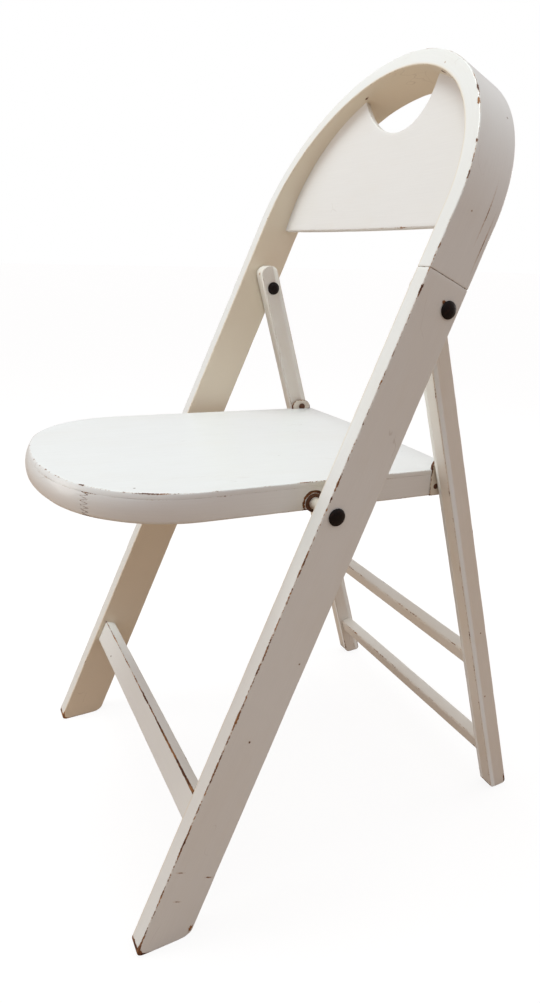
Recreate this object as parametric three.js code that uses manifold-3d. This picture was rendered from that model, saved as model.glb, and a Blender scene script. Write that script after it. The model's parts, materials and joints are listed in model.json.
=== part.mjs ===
// A wooden folding chair: a bent hoop frame, a pair of rear legs and a seat that fold flat together.
// Millimetres, +Z up. The chair faces -Y, and the sitter's left hand is on the +X side.
import * as THREE from 'three';
import { mergeVertices } from 'three/addons/utils/BufferGeometryUtils.js';
import Module from 'manifold-3d';

const wasm = await Module();
wasm.setup();

// ---- Driving dimensions -------------------------------------------------------------------
const GAP = 0.3; // between pieces that touch

const HOOP_WIDTH = 400; // outside to outside
const HOOP_THICK = 19; // across each leg, seen from the front
const HOOP_DEPTH = 50.5; // front face to rear face
const HOOP_LEAN = THREE.MathUtils.degToRad(24);
const HOOP_FOOT_Y = -222.6; // where the front face meets the floor
const HOOP_FOOT = { toe: 8, heel: 9 }; // roundings at the front and the rear of each foot
const ARCH = { centre: 754, rise: 188.5, crownThick: 18.2, crownShift: 4.5 }; // bent by hand, a little askew
const SPLICE_AT = 695.5; // distances along the hoop start at the floor line of the front face
const SPLICE_TONGUE = { length: 25, thick: 6, inset: 9 };

const PANEL = { bottom: 751.2, front: 30.5, thick: 7, housing: 5, dish: 5 };
const PANEL_LEAN = 6.9; // degrees, its top nearer the hoop's front face
const HANDHOLD = { x: -24, up: 205, halfWidth: 67, halfHeight: 107.5, tilt: 38 }; // an ellipse on the panel

const FRONT_RAIL = { bottom: 126, top: 155.5, front: 6, back: 21, tenon: 10 };
const TENON_SHOULDER = 3; // how much smaller a tenon is than its rail, all round

const LEG_PIVOT = { along: 670.8, depth: 37.9 };
const LEG_LEAN = THREE.MathUtils.degToRad(15.5);
const LEG_THICK = 19;
const LEG_SIDE_GAP = 1.5; // between the hoop and a rear leg
const LEG_AHEAD = 11.7; // leg's front face ahead of its pivot
const LEG_BEHIND = 12.3;
const LEG_ABOVE = 30; // leg's top end above its pivot
const LEG_ROUNDING = { crown: 11, toe: 5, heel: 6 };
const GROOVE = { start: 167, end: 376, width: 8, deep: 6 };
const REAR_RAILS = { upper: 414.5, lower: 553, height: 19, deep: 16, tenon: 9 };

const SEAT_WIDTH = 317;
const SEAT_THICK = 29;
const SEAT_SLOPE = THREE.MathUtils.degToRad(-2); // lower at the back
const SEAT_PIVOT = { along: 457.4, depth: 13.8 };
const SEAT_AHEAD = 238; // seat's front edge ahead of its pivot
const SEAT_BEHIND = 172; // its back corners behind the pivot
const SEAT_BACK_BOW = 6; // how far the middle of the back edge bulges past the corners
const SEAT_ABOVE = 21.5; // seat's top above its pivot
const SEAT_FRONT_RADIUS = 250;
const SEAT_CORNER_RADIUS = 120;
const BOARD_THICK = 5;
const RIM_WALL = 20;
const RIM_JOINT_ANGLE = 40; // degrees round the left front corner, from straight ahead
const RIM_JOINT_TEETH = 6;
const RIM_JOINT_REACH = 9; // length of each tooth
const BACK_RAIL = { wide: 18, tenon: 6 };

const EAR = { front: 141, back: 169.5, above: 12, thick: 3, radius: 11 }; // placed behind the seat pivot
const SLIDE_PIN = { behind: 155.7, above: 24.3, radius: 3, headRadius: 4.5, headThick: 1.6 };

const RIVET = { shank: 4, head: 8.6, dome: 3.2, clench: 6.5, clenchDome: 2.2 };
const LEG_WASHER_RADIUS = 9;
const BURR = { radius: 8.3, thick: 1.2 };
const SPACER_RADIUS = 6;
const SEAT_WASHER = { radius: 9.5, thick: 1.4 };
const COUNTERBORE = { radius: 12, deep: 0.8 };
const SCREW = { radius: 1.6, head: 3, length: 12, headThick: 1.2, spread: 7, above: 10 };

const ARC_STEPS = 28;
const DISH_STEPS = 12;
const FILLET_STEPS = 4;
const TURNED_STEPS = 20;

// ---- Worked out from the dimensions ----------------------------------------------------------
const HALF = HOOP_WIDTH / 2;
const HOOP_INNER = HALF - HOOP_THICK;
const LEG_OUTER = HOOP_INNER - LEG_SIDE_GAP;
const LEG_INNER = LEG_OUTER - LEG_THICK;
const SEAT_HALF = SEAT_WIDTH / 2;
const FLOOR_SLOPE = Math.tan(HOOP_LEAN);
const LEG_SLOPE = Math.tan(LEG_LEAN);
const BELOW_FLOOR = -30; // rough ends start here before the feet are cut

function onHoop(along, depth) {
  const y = HOOP_FOOT_Y + along * Math.sin(HOOP_LEAN) + depth * Math.cos(HOOP_LEAN);
  const z = along * Math.cos(HOOP_LEAN) - depth * Math.sin(HOOP_LEAN);
  return new THREE.Vector3(0, y, z);
}
const legPivot = onHoop(LEG_PIVOT.along, LEG_PIVOT.depth);
const seatPivot = onHoop(SEAT_PIVOT.along, SEAT_PIVOT.depth);
const legLength = legPivot.z / Math.cos(LEG_LEAN);

// ---- Materials -------------------------------------------------------------------------------
function paint(name, color) {
  return new THREE.MeshStandardMaterial({ name, color, roughness: 0.5, metalness: 0 });
}
function metal(name, color, roughness) {
  return new THREE.MeshStandardMaterial({ name, color, roughness, metalness: 0.85 });
}
const hoopPaint = paint('hoop_paint', 0xe4e6dc);
const panelPaint = paint('panel_paint', 0xe5e5df);
const legPaint = paint('leg_paint', 0xd9d5c8);
const seatPaint = paint('seat_paint', 0xe6ebe5);
const darkRivet = metal('dark_rivet', 0x1c1310, 0.35);
const wornSteel = metal('worn_steel', 0x4a3a2e, 0.6);
const paintedSteel = paint('painted_steel', 0xd6cfc0);

// ---- Solids from shapes ----------------------------------------------------------------------
function solid(geometry) {
  geometry.deleteAttribute('normal');
  geometry.deleteAttribute('uv');
  const merged = mergeVertices(geometry);
  const vertProperties = new Float32Array(merged.attributes.position.array);
  const triVerts = new Uint32Array(merged.index.array);
  return new wasm.Manifold(new wasm.Mesh({ numProp: 3, vertProperties, triVerts }));
}

function addPiece(group, name, manifold, material) {
  const mesh = manifold.getMesh();
  const geometry = new THREE.BufferGeometry();
  geometry.setAttribute('position', new THREE.BufferAttribute(mesh.vertProperties, 3));
  geometry.setIndex(new THREE.BufferAttribute(mesh.triVerts, 1));
  const flat = geometry.toNonIndexed();
  flat.computeVertexNormals();
  const piece = new THREE.Mesh(flat, material);
  piece.name = name;
  group.add(piece);
}

const AXIS_X = new THREE.Vector3(1, 0, 0);
const AXIS_Y = new THREE.Vector3(0, 1, 0);
const AXIS_Z = new THREE.Vector3(0, 0, 1);

function extruded(shape, length, steps) {
  return new THREE.ExtrudeGeometry(shape, { depth: length, bevelEnabled: false, curveSegments: steps });
}

// An outline drawn in (x, z), from depth y0 to y1.
function fromFront(shape, y0, y1, steps = FILLET_STEPS) {
  const turn = new THREE.Matrix4().makeBasis(AXIS_X, AXIS_Z, AXIS_Y.clone().negate());
  return solid(extruded(shape, y1 - y0, steps).applyMatrix4(turn).translate(0, y1, 0));
}

// An outline drawn in (y, z), from x0 to x1.
function fromSide(shape, x0, x1, steps = FILLET_STEPS) {
  const turn = new THREE.Matrix4().makeBasis(AXIS_Y, AXIS_Z, AXIS_X);
  return solid(extruded(shape, x1 - x0, steps).applyMatrix4(turn).translate(x0, 0, 0));
}

// An outline drawn in (x, y), from z0 to z1.
function fromAbove(shape, z0, z1, steps = FILLET_STEPS) {
  return solid(extruded(shape, z1 - z0, steps).translate(0, 0, z0));
}

function block(x0, x1, y0, y1, z0, z1) {
  const geometry = new THREE.BoxGeometry(x1 - x0, y1 - y0, z1 - z0);
  return solid(geometry.translate((x0 + x1) / 2, (y0 + y1) / 2, (z0 + z1) / 2));
}

// A turned piece: its profile is a list of [radius, x] from one end to the other.
function turned(profile, y = 0, z = 0) {
  const points = profile.map(([radius, x]) => new THREE.Vector2(radius, x));
  const turn = new THREE.Matrix4().makeBasis(AXIS_Y, AXIS_X, AXIS_Z.clone().negate());
  const geometry = new THREE.LatheGeometry(points, TURNED_STEPS).applyMatrix4(turn);
  return solid(geometry.translate(0, y, z));
}

function pinAlongX(radius, x0, x1, y, z) {
  return turned([[0, x0], [radius, x0], [radius, x1], [0, x1]], y, z);
}

// A closed outline whose corners are [u, v, radius].
function roundedOutline(corners) {
  const shape = new THREE.Shape();
  corners.forEach(([u, v, radius], i) => {
    const corner = new THREE.Vector2(u, v);
    const before = new THREE.Vector2(...corners.at(i - 1));
    const after = new THREE.Vector2(...corners[(i + 1) % corners.length]);
    const start = corner.clone().add(before.sub(corner).setLength(radius));
    const end = corner.clone().add(after.sub(corner).setLength(radius));
    if (i === 0) shape.moveTo(start.x, start.y);
    else shape.lineTo(start.x, start.y);
    if (radius > 0) shape.quadraticCurveTo(corner.x, corner.y, end.x, end.y);
  });
  shape.closePath();
  return shape;
}

// The same solid on the other side of the chair. The solids here are built on the left, +X.
function onSide(side, manifold) {
  return side === 'left' ? manifold : manifold.mirror([1, 0, 0]);
}

// ---- Hoop frame ------------------------------------------------------------------------------
// Its group's Y is depth behind the front face and its Z runs up along the hoop.
const hoop = new THREE.Group();
hoop.position.set(0, HOOP_FOOT_Y, 0);
hoop.rotation.x = -HOOP_LEAN;

// Straight legs and a bent arch, as far inside the hoop's outer face as inset and crownInset say.
function archOutline(inset, crownInset, bottom) {
  const half = HALF - inset;
  const points = [new THREE.Vector2(-half, bottom), new THREE.Vector2(half, bottom)];
  for (let i = 0; i <= ARC_STEPS * 2; i += 1) {
    const a = (i / (ARC_STEPS * 2)) * Math.PI;
    const x = half * Math.cos(a) + ARCH.crownShift * Math.sin(a);
    points.push(new THREE.Vector2(x, ARCH.centre + (ARCH.rise - crownInset) * Math.sin(a)));
  }
  return new THREE.Shape(points);
}

function wholeHoop() {
  const above = ARCH.centre + HOOP_WIDTH;
  const outer = fromFront(archOutline(0, 0, BELOW_FLOOR), 0, HOOP_DEPTH);
  const inner = fromFront(archOutline(HOOP_THICK, ARCH.crownThick, BELOW_FLOOR - 1), -1, HOOP_DEPTH + 1);
  const side = roundedOutline([
    [0, 0, HOOP_FOOT.toe],
    [HOOP_DEPTH, HOOP_DEPTH * FLOOR_SLOPE, HOOP_FOOT.heel],
    [HOOP_DEPTH, above, 0],
    [0, above, 0],
  ]);
  return outer.subtract(inner).intersect(fromSide(side, -HOOP_WIDTH, HOOP_WIDTH));
}

// A sheet that bows back a little between the two sides of the hoop, seen from above.
function dishedSheet(clearance) {
  const front = -clearance;
  const back = PANEL.thick + clearance;
  const shape = new THREE.Shape();
  shape.moveTo(-HALF, front);
  shape.quadraticCurveTo(0, front + PANEL.dish * 2, HALF, front);
  shape.lineTo(HALF, back);
  shape.quadraticCurveTo(0, back + PANEL.dish * 2, -HALF, back);
  shape.closePath();
  return fromAbove(shape, -clearance, HALF, DISH_STEPS);
}

// Turns what is built in the panel's own plane into the hoop's frame.
function inPanelPlane(manifold) {
  return manifold.rotate([PANEL_LEAN, 0, 0]).translate([0, PANEL.front, PANEL.bottom]);
}

function panelSolid(clearance) {
  const inset = HOOP_THICK - PANEL.housing - clearance;
  const crownInset = ARCH.crownThick - PANEL.housing - clearance;
  const outline = archOutline(inset, crownInset, SPLICE_AT);
  return inPanelPlane(dishedSheet(clearance)).intersect(fromFront(outline, 0, HOOP_DEPTH));
}

function handhold() {
  const { x, up, halfWidth, halfHeight, tilt } = HANDHOLD;
  const shape = new THREE.Shape();
  shape.absellipse(x, up, halfWidth, halfHeight, 0, Math.PI * 2, false, THREE.MathUtils.degToRad(tilt));
  const through = PANEL.thick + PANEL.dish + 1;
  return inPanelPlane(fromFront(shape, -1, through, ARC_STEPS));
}

function frontRailSolid(clearance) {
  const { bottom, top, front, back, tenon } = FRONT_RAIL;
  const reach = HOOP_INNER + tenon + clearance;
  const shoulder = TENON_SHOULDER;
  const middle = HOOP_INNER - GAP;
  const body = block(-middle, middle, front, back, bottom, top);
  const tongue = block(
    -reach, reach,
    front + shoulder - clearance, back - shoulder + clearance,
    bottom + shoulder - clearance, top - shoulder + clearance,
  );
  return clearance > 0 ? tongue : body.add(tongue);
}

function spliceTongue(clearance) {
  const { length, thick, inset } = SPLICE_TONGUE;
  const middle = HALF - HOOP_THICK / 2;
  const half = thick / 2 + clearance;
  return block(
    middle - half, middle + half,
    inset - clearance, HOOP_DEPTH - inset + clearance,
    SPLICE_AT - 1, SPLICE_AT + length + clearance,
  );
}

function rivetHoles() {
  const radius = RIVET.shank + GAP;
  const reach = HALF + 1;
  const legHole = pinAlongX(radius, -reach, reach, LEG_PIVOT.depth, LEG_PIVOT.along);
  const seatHole = pinAlongX(radius, -reach, reach, SEAT_PIVOT.depth, SEAT_PIVOT.along);
  return legHole.add(seatHole);
}

function buildHoop() {
  const bored = wholeHoop()
    .subtract(rivetHoles())
    .subtract(frontRailSolid(GAP))
    .subtract(panelSolid(GAP));
  const leftLegZone = block(0, HOOP_WIDTH, -1, HOOP_DEPTH + 1, BELOW_FLOOR, SPLICE_AT);
  const bendCut = block(0, HOOP_WIDTH, -1, HOOP_DEPTH + 1, BELOW_FLOOR, SPLICE_AT + GAP);
  const bend = bored.subtract(bendCut).subtract(spliceTongue(GAP));
  const leg = bored.intersect(leftLegZone).add(spliceTongue(0));
  addPiece(hoop, 'hoop_bend', bend, hoopPaint);
  addPiece(hoop, 'hoop_leg_left', leg, hoopPaint);
  addPiece(hoop, 'back_panel', panelSolid(0).subtract(handhold()), panelPaint);
  addPiece(hoop, 'front_rail', frontRailSolid(0), hoopPaint);
}

// ---- Rear legs -------------------------------------------------------------------------------
// The group's origin is the leg pivot, and its -Z runs down along the legs.
const rearLegs = new THREE.Group();
rearLegs.position.copy(legPivot);
rearLegs.rotation.x = LEG_LEAN;

function rearRail(top, clearance) {
  const { height, deep, tenon } = REAR_RAILS;
  const shoulder = TENON_SHOULDER;
  const reach = LEG_INNER + tenon + clearance;
  const middle = LEG_INNER - GAP;
  const tongue = block(
    -reach, reach,
    -deep / 2 + shoulder - clearance, deep / 2 - shoulder + clearance,
    -top - height + shoulder - clearance, -top - shoulder + clearance,
  );
  if (clearance > 0) return tongue;
  return block(-middle, middle, -deep / 2, deep / 2, -top - height, -top).add(tongue);
}

function rearLegSolid() {
  const { crown, toe, heel } = LEG_ROUNDING;
  const toeEnd = legLength - LEG_AHEAD * LEG_SLOPE;
  const heelEnd = legLength + LEG_BEHIND * LEG_SLOPE;
  const outline = roundedOutline([
    [-LEG_AHEAD, -toeEnd, toe],
    [LEG_BEHIND, -heelEnd, heel],
    [LEG_BEHIND, LEG_ABOVE, crown],
    [-LEG_AHEAD, LEG_ABOVE, crown],
  ]);
  const { start, end, width, deep } = GROOVE;
  const groove = block(LEG_INNER - 1, LEG_INNER + deep, -width / 2, width / 2, -end, -start);
  return fromSide(outline, LEG_INNER, LEG_OUTER)
    .subtract(groove)
    .subtract(pinAlongX(RIVET.shank + GAP, LEG_INNER - 1, LEG_OUTER + 1, 0, 0))
    .subtract(rearRail(REAR_RAILS.upper, GAP))
    .subtract(rearRail(REAR_RAILS.lower, GAP));
}

function buildRearLegs() {
  for (const side of ['left', 'right']) {
    addPiece(rearLegs, `rear_leg_${side}`, onSide(side, rearLegSolid()), legPaint);
  }
  addPiece(rearLegs, 'rear_rail_upper', rearRail(REAR_RAILS.upper, 0), legPaint);
  addPiece(rearLegs, 'rear_rail_lower', rearRail(REAR_RAILS.lower, 0), legPaint);
}

// ---- Seat ------------------------------------------------------------------------------------
// The group's origin is the seat pivot, and it slopes with the seat.
const seat = new THREE.Group();
seat.position.copy(seatPivot);
seat.rotation.x = SEAT_SLOPE;

const frontCentre = -SEAT_AHEAD + SEAT_FRONT_RADIUS;
const cornerX = SEAT_HALF - SEAT_CORNER_RADIUS;
const cornerY = frontCentre - Math.sqrt((SEAT_FRONT_RADIUS - SEAT_CORNER_RADIUS) ** 2 - cornerX ** 2);

// The seat's outline: straight sides, two corner arcs and one wide front arc, all tangent,
// and a back edge that bulges a little.
function seatOutline(inset, back, bow = SEAT_BACK_BOW) {
  const half = SEAT_HALF - inset;
  const lean = Math.atan2(cornerX, frontCentre - cornerY);
  const straightDown = -Math.PI / 2;
  const shape = new THREE.Shape();
  shape.moveTo(half, back);
  shape.quadraticCurveTo(0, back + bow * 2, -half, back);
  shape.absarc(-cornerX, cornerY, SEAT_CORNER_RADIUS - inset, Math.PI, Math.PI * 1.5 - lean, false);
  shape.absarc(0, frontCentre, SEAT_FRONT_RADIUS - inset, straightDown - lean, straightDown + lean, false);
  shape.absarc(cornerX, cornerY, SEAT_CORNER_RADIUS - inset, straightDown + lean, 0, false);
  shape.closePath();
  return shape;
}

const rimTop = SEAT_ABOVE - BOARD_THICK - GAP;
const rimBottom = SEAT_ABOVE - SEAT_THICK;

function rimRing() {
  const outer = fromAbove(seatOutline(0, SEAT_BEHIND, 0), rimBottom, rimTop, ARC_STEPS / 2);
  const hollow = seatOutline(RIM_WALL, SEAT_BEHIND + 1, 0);
  const inner = fromAbove(hollow, rimBottom - 1, rimTop + 1, ARC_STEPS / 2);
  return outer.subtract(inner);
}

// The rail follows the bulge of the board's back edge.
function backRailSolid(clearance) {
  const { wide, tenon } = BACK_RAIL;
  const reach = SEAT_HALF - RIM_WALL + tenon + clearance;
  const shoulder = TENON_SHOULDER;
  const tongue = block(
    -reach, reach,
    SEAT_BEHIND - wide + shoulder - clearance, SEAT_BEHIND - shoulder + clearance,
    rimBottom + shoulder - clearance, rimTop - shoulder + clearance,
  );
  if (clearance > 0) return tongue;
  const inside = SEAT_HALF - RIM_WALL - GAP;
  const front = SEAT_BEHIND - wide;
  const between = block(-inside, inside, front, SEAT_BEHIND + SEAT_BACK_BOW + 1, rimBottom, rimTop);
  const outline = fromAbove(seatOutline(0, SEAT_BEHIND), rimBottom, rimTop, ARC_STEPS / 2);
  return between.intersect(outline).add(tongue);
}

// A plate let into the seat's side, with a rounded top that stands above the seat.
function earSolid(clearance) {
  const bottom = rimBottom - clearance;
  const top = SEAT_ABOVE + EAR.above + clearance;
  const plate = roundedOutline([
    [EAR.front - clearance, bottom, 0],
    [EAR.back + clearance, bottom, 0],
    [EAR.back + clearance, top, EAR.radius],
    [EAR.front - clearance, top, EAR.radius],
  ]);
  const inner = SEAT_HALF - EAR.thick - clearance;
  return fromSide(plate, inner, SEAT_HALF + clearance);
}

// Room in the board and the rim for the inner head of the slide pin.
function pinHeadRoom() {
  const { behind, above, headRadius, headThick } = SLIDE_PIN;
  const inner = SEAT_HALF - EAR.thick - headThick - GAP * 2;
  return pinAlongX(headRadius + GAP, inner, SEAT_HALF, behind, above);
}

function screwPlaces() {
  const middle = (EAR.front + EAR.back) / 2;
  return [-SCREW.spread, SCREW.spread].map((dy) => [middle + dy, rimBottom + SCREW.above]);
}

// The toothed cut where the two bent parts of the rim meet, on the left front corner.
function rimJointCutter(width) {
  const height = (rimTop - rimBottom) / RIM_JOINT_TEETH;
  const side = SEAT_WIDTH * 2;
  const outline = new THREE.Shape();
  outline.moveTo(side, rimBottom - height);
  outline.lineTo(side, rimTop + height);
  for (let i = RIM_JOINT_TEETH; i >= -1; i -= 1) {
    outline.lineTo(RIM_JOINT_REACH / 2 - width, rimBottom + (i + 0.5) * height);
    outline.lineTo(-RIM_JOINT_REACH / 2 - width, rimBottom + i * height);
  }
  outline.closePath();
  const outside = -SEAT_CORNER_RADIUS - RIM_WALL;
  const cutter = fromFront(outline, outside, outside + side, 1);
  return cutter.rotate([0, 0, RIM_JOINT_ANGLE]).translate([cornerX, cornerY, 0]);
}

function buildSeat() {
  const board = fromAbove(seatOutline(0, SEAT_BEHIND), SEAT_ABOVE - BOARD_THICK, SEAT_ABOVE, ARC_STEPS / 2);
  const pivotHole = RIVET.shank + GAP;
  const counterbore = SEAT_HALF - COUNTERBORE.deep;
  let cutters = backRailSolid(GAP).add(pinAlongX(pivotHole, -SEAT_WIDTH, SEAT_WIDTH, 0, 0));
  const earRoom = earSolid(GAP).add(pinHeadRoom());
  const ears = earRoom.add(onSide('right', earRoom));
  for (const side of ['left', 'right']) {
    const seatFace = pinAlongX(COUNTERBORE.radius, counterbore, SEAT_WIDTH, 0, 0);
    cutters = cutters.add(onSide(side, seatFace));
    for (const [y, z] of screwPlaces()) {
      const hole = pinAlongX(SCREW.radius + GAP, SEAT_HALF - SCREW.length - 1, SEAT_HALF, y, z);
      cutters = cutters.add(onSide(side, hole));
    }
  }
  const rim = rimRing().subtract(cutters).subtract(ears);
  const frontZone = block(0, SEAT_WIDTH, -SEAT_WIDTH, SEAT_BEHIND + 1, rimBottom - 1, rimTop + 1);
  addPiece(seat, 'seat_board', board.subtract(ears), seatPaint);
  addPiece(seat, 'seat_rim', rim.subtract(rimJointCutter(GAP).intersect(frontZone)), seatPaint);
  addPiece(seat, 'seat_rim_left', rim.intersect(rimJointCutter(0)).intersect(frontZone), seatPaint);
  addPiece(seat, 'seat_back_rail', backRailSolid(0), seatPaint);
}

// ---- Hardware --------------------------------------------------------------------------------
// Built at the origin of its own pivot, on the left side, and mirrored for the right.
function domedRivet(outside, inside) {
  const { shank, head, dome, clench, clenchDome } = RIVET;
  const profile = [[0, inside - clenchDome]];
  for (let i = 1; i <= FILLET_STEPS; i += 1) {
    const a = (i / FILLET_STEPS) * (Math.PI / 2);
    profile.push([clench * Math.sin(a), inside - clenchDome * Math.cos(a)]);
  }
  profile.push([shank, inside], [shank, outside]);
  for (let i = 0; i < FILLET_STEPS; i += 1) {
    const a = (i / FILLET_STEPS) * (Math.PI / 2);
    profile.push([head * Math.cos(a), outside + dome * Math.sin(a)]);
  }
  profile.push([0, outside + dome]);
  return turned(profile);
}

function ring(radius, x0, x1) {
  const hole = RIVET.shank + GAP;
  return turned([[hole, x0], [radius, x0], [radius, x1], [hole, x1], [hole, x0]]);
}

function legPivotHardware(side) {
  const burrFace = LEG_INNER - GAP;
  const clenchAt = burrFace - BURR.thick - GAP;
  const pieces = {
    leg_pivot_rivet: [domedRivet(HALF + GAP, clenchAt), darkRivet],
    leg_pivot_washer: [ring(LEG_WASHER_RADIUS, LEG_OUTER + GAP, HOOP_INNER - GAP), wornSteel],
    leg_pivot_burr: [ring(BURR.radius, burrFace - BURR.thick, burrFace), darkRivet],
  };
  return placed(pieces, side);
}

function seatPivotHardware(side) {
  const washerFace = SEAT_HALF - COUNTERBORE.deep + GAP;
  const washerEnd = washerFace + SEAT_WASHER.thick;
  const rimInside = SEAT_HALF - RIM_WALL - GAP;
  const clenchAt = rimInside - BURR.thick - GAP;
  const pieces = {
    seat_pivot_rivet: [domedRivet(HALF + GAP, clenchAt), darkRivet],
    seat_pivot_spacer: [ring(SPACER_RADIUS, washerEnd + GAP, HOOP_INNER - GAP), paintedSteel],
    seat_pivot_washer: [ring(SEAT_WASHER.radius, washerFace, washerEnd), wornSteel],
    seat_pivot_burr: [ring(BURR.radius, rimInside - BURR.thick, rimInside), wornSteel],
  };
  return placed(pieces, side);
}

// Each piece gets its side in its name and is mirrored where it is on the right.
function placed(pieces, side) {
  return Object.entries(pieces).map(([name, [shape, material]]) => {
    return { name: `${name}_${side}`, shape: onSide(side, shape), material };
  });
}

function slideHardware(side) {
  const { behind, above, radius, headRadius, headThick } = SLIDE_PIN;
  const plateInside = SEAT_HALF - EAR.thick;
  const pinEnd = LEG_INNER - GAP;
  const pinHole = pinAlongX(radius + GAP, 0, SEAT_WIDTH, behind, above);
  const headEnd = plateInside - GAP;
  const pin = turned([
    [0, headEnd - headThick],
    [headRadius, headEnd - headThick],
    [headRadius, headEnd],
    [radius, headEnd],
    [radius, pinEnd],
    [0, pinEnd],
  ], behind, above);
  let plate = earSolid(0).subtract(pinHole);
  for (const [y, z] of screwPlaces()) {
    plate = plate.subtract(pinAlongX(SCREW.radius + GAP, 0, SEAT_WIDTH, y, z));
    plate = plate.subtract(pinAlongX(SCREW.head + GAP, SEAT_HALF - SCREW.headThick - GAP, SEAT_WIDTH, y, z));
  }
  return placed({ seat_ear: [plate, paintedSteel], slide_pin: [pin, wornSteel] }, side);
}

function earScrews(side) {
  const { radius, head, length, headThick } = SCREW;
  return screwPlaces().flatMap(([y, z], i) => {
    const screw = turned([
      [0, SEAT_HALF - length],
      [radius, SEAT_HALF - length],
      [radius, SEAT_HALF - headThick],
      [head, SEAT_HALF - headThick],
      [head, SEAT_HALF],
      [0, SEAT_HALF],
    ], y, z);
    return placed({ [`ear_screw_${i + 1}`]: [screw, wornSteel] }, side);
  });
}

function addAll(group, pieces) {
  pieces.forEach(({ name, shape, material }) => addPiece(group, name, shape, material));
}

// ---- Assembly --------------------------------------------------------------------------------
buildHoop();
buildRearLegs();
buildSeat();

const legPivotPieces = new THREE.Group();
legPivotPieces.position.copy(legPivot);
const seatPivotPieces = new THREE.Group();
seatPivotPieces.position.copy(seatPivot);
for (const side of ['left', 'right']) {
  addAll(legPivotPieces, legPivotHardware(side));
  addAll(seatPivotPieces, seatPivotHardware(side));
  addAll(seat, slideHardware(side));
  addAll(seat, earScrews(side));
}

const chair = new THREE.Group();
chair.add(hoop, rearLegs, seat, legPivotPieces, seatPivotPieces);
export default chair;
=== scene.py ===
# %% [markdown]
# # A folding chair in old white paint
#
# A bent hoop of wood makes the front legs and the back, a pair of rear legs is riveted to it, and
# a seat folds up between them. The frame that this lesson loads has every piece at its true size
# and place. Blender's work is the surface: edges eased by hand, brush marks, dents, and paint that
# has chipped down to brown wood along the edges.

# %% Load the chair
import json
import math

import bmesh
import bpy
import numpy as np
from mathutils import Matrix, Vector, noise


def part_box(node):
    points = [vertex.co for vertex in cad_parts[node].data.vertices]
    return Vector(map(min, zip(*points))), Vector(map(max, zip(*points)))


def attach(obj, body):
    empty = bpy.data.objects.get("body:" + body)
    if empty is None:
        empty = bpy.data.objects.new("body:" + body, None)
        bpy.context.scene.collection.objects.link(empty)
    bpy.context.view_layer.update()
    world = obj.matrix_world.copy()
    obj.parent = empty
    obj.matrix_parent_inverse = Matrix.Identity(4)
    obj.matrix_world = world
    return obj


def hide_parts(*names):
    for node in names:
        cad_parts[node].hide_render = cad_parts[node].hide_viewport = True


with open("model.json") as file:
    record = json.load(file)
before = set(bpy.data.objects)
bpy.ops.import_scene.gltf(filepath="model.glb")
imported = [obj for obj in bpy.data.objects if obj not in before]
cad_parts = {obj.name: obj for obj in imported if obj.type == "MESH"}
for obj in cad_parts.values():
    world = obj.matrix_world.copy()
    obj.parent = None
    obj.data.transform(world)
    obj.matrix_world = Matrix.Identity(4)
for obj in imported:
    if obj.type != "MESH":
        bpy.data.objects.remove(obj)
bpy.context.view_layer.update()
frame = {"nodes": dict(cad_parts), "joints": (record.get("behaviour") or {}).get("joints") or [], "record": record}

# %% [markdown]
# ## Three workbenches
#
# A wooden piece is easiest to shape while it lies square on the bench. The hoop leans back by 24
# degrees, the rear legs lean the other way by 15.5, and the seat drops 2 degrees to the rear. Each
# group gets a matrix that turns bench coordinates (x across, y through, z along) into the chair's.
# Sizes are then read off the loaded nodes, measured on their own bench.

# %% Bench frames
HOOP_LEAN = math.radians(24)
LEG_LEAN = math.radians(15.5)
SEAT_SLOPE = math.radians(2)
MM = 0.001
SIDES = (("left", 1), ("right", -1))

pivots = {joint["name"]: Vector(joint["pos_m"]) for joint in frame["joints"]}
seat_pivot = pivots["seat_hinge"]
leg_pivot = pivots["rear_leg_hinge"]


def bench(origin, turn):
    return Matrix.Translation(origin) @ Matrix.Rotation(turn, 4, "X")


def bench_box(cad_node, frame_of_bench):
    """The lowest and highest corner of a node, as it lies on that bench."""
    to_bench = np.array(frame_of_bench.inverted())
    points = np.array([v.co for v in frame["nodes"][cad_node].data.vertices])
    points = points @ to_bench[:3, :3].T + to_bench[:3, 3]
    return points.min(0), points.max(0)


leaning = bench((0, 0, 0), -HOOP_LEAN)
foot_y = bench_box("hoop_leg_left", leaning)[0][1] / math.cos(HOOP_LEAN)
hoop_bench = bench((0, foot_y, 0), -HOOP_LEAN)
leg_bench = bench(leg_pivot, LEG_LEAN)
seat_bench = bench(seat_pivot, -SEAT_SLOPE)
print("front of the feet at y =", round(foot_y, 4))

# %% [markdown]
# ## One way to make a stick of wood
#
# Nearly every piece is a stick: a section with eased corners, carried along a line. A cube with a
# Bevel modifier would do for a straight one, but the hoop is bent and the feet are cut on a slant,
# so the stick is woven as a grid of points instead. The grid also lets each point remember two
# things for the paint: where it lay on the straight stick before bending, so that grain and brush
# marks follow the wood, and how far it is from the nearest sharp edge, where paint wears first.

# %% A section with eased corners
CORNER_STEPS = 4
SPREAD = (0.03, 0.09, 0.2, 0.35, 0.5, 0.65, 0.8, 0.91, 0.97)  # points along each flat side


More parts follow.
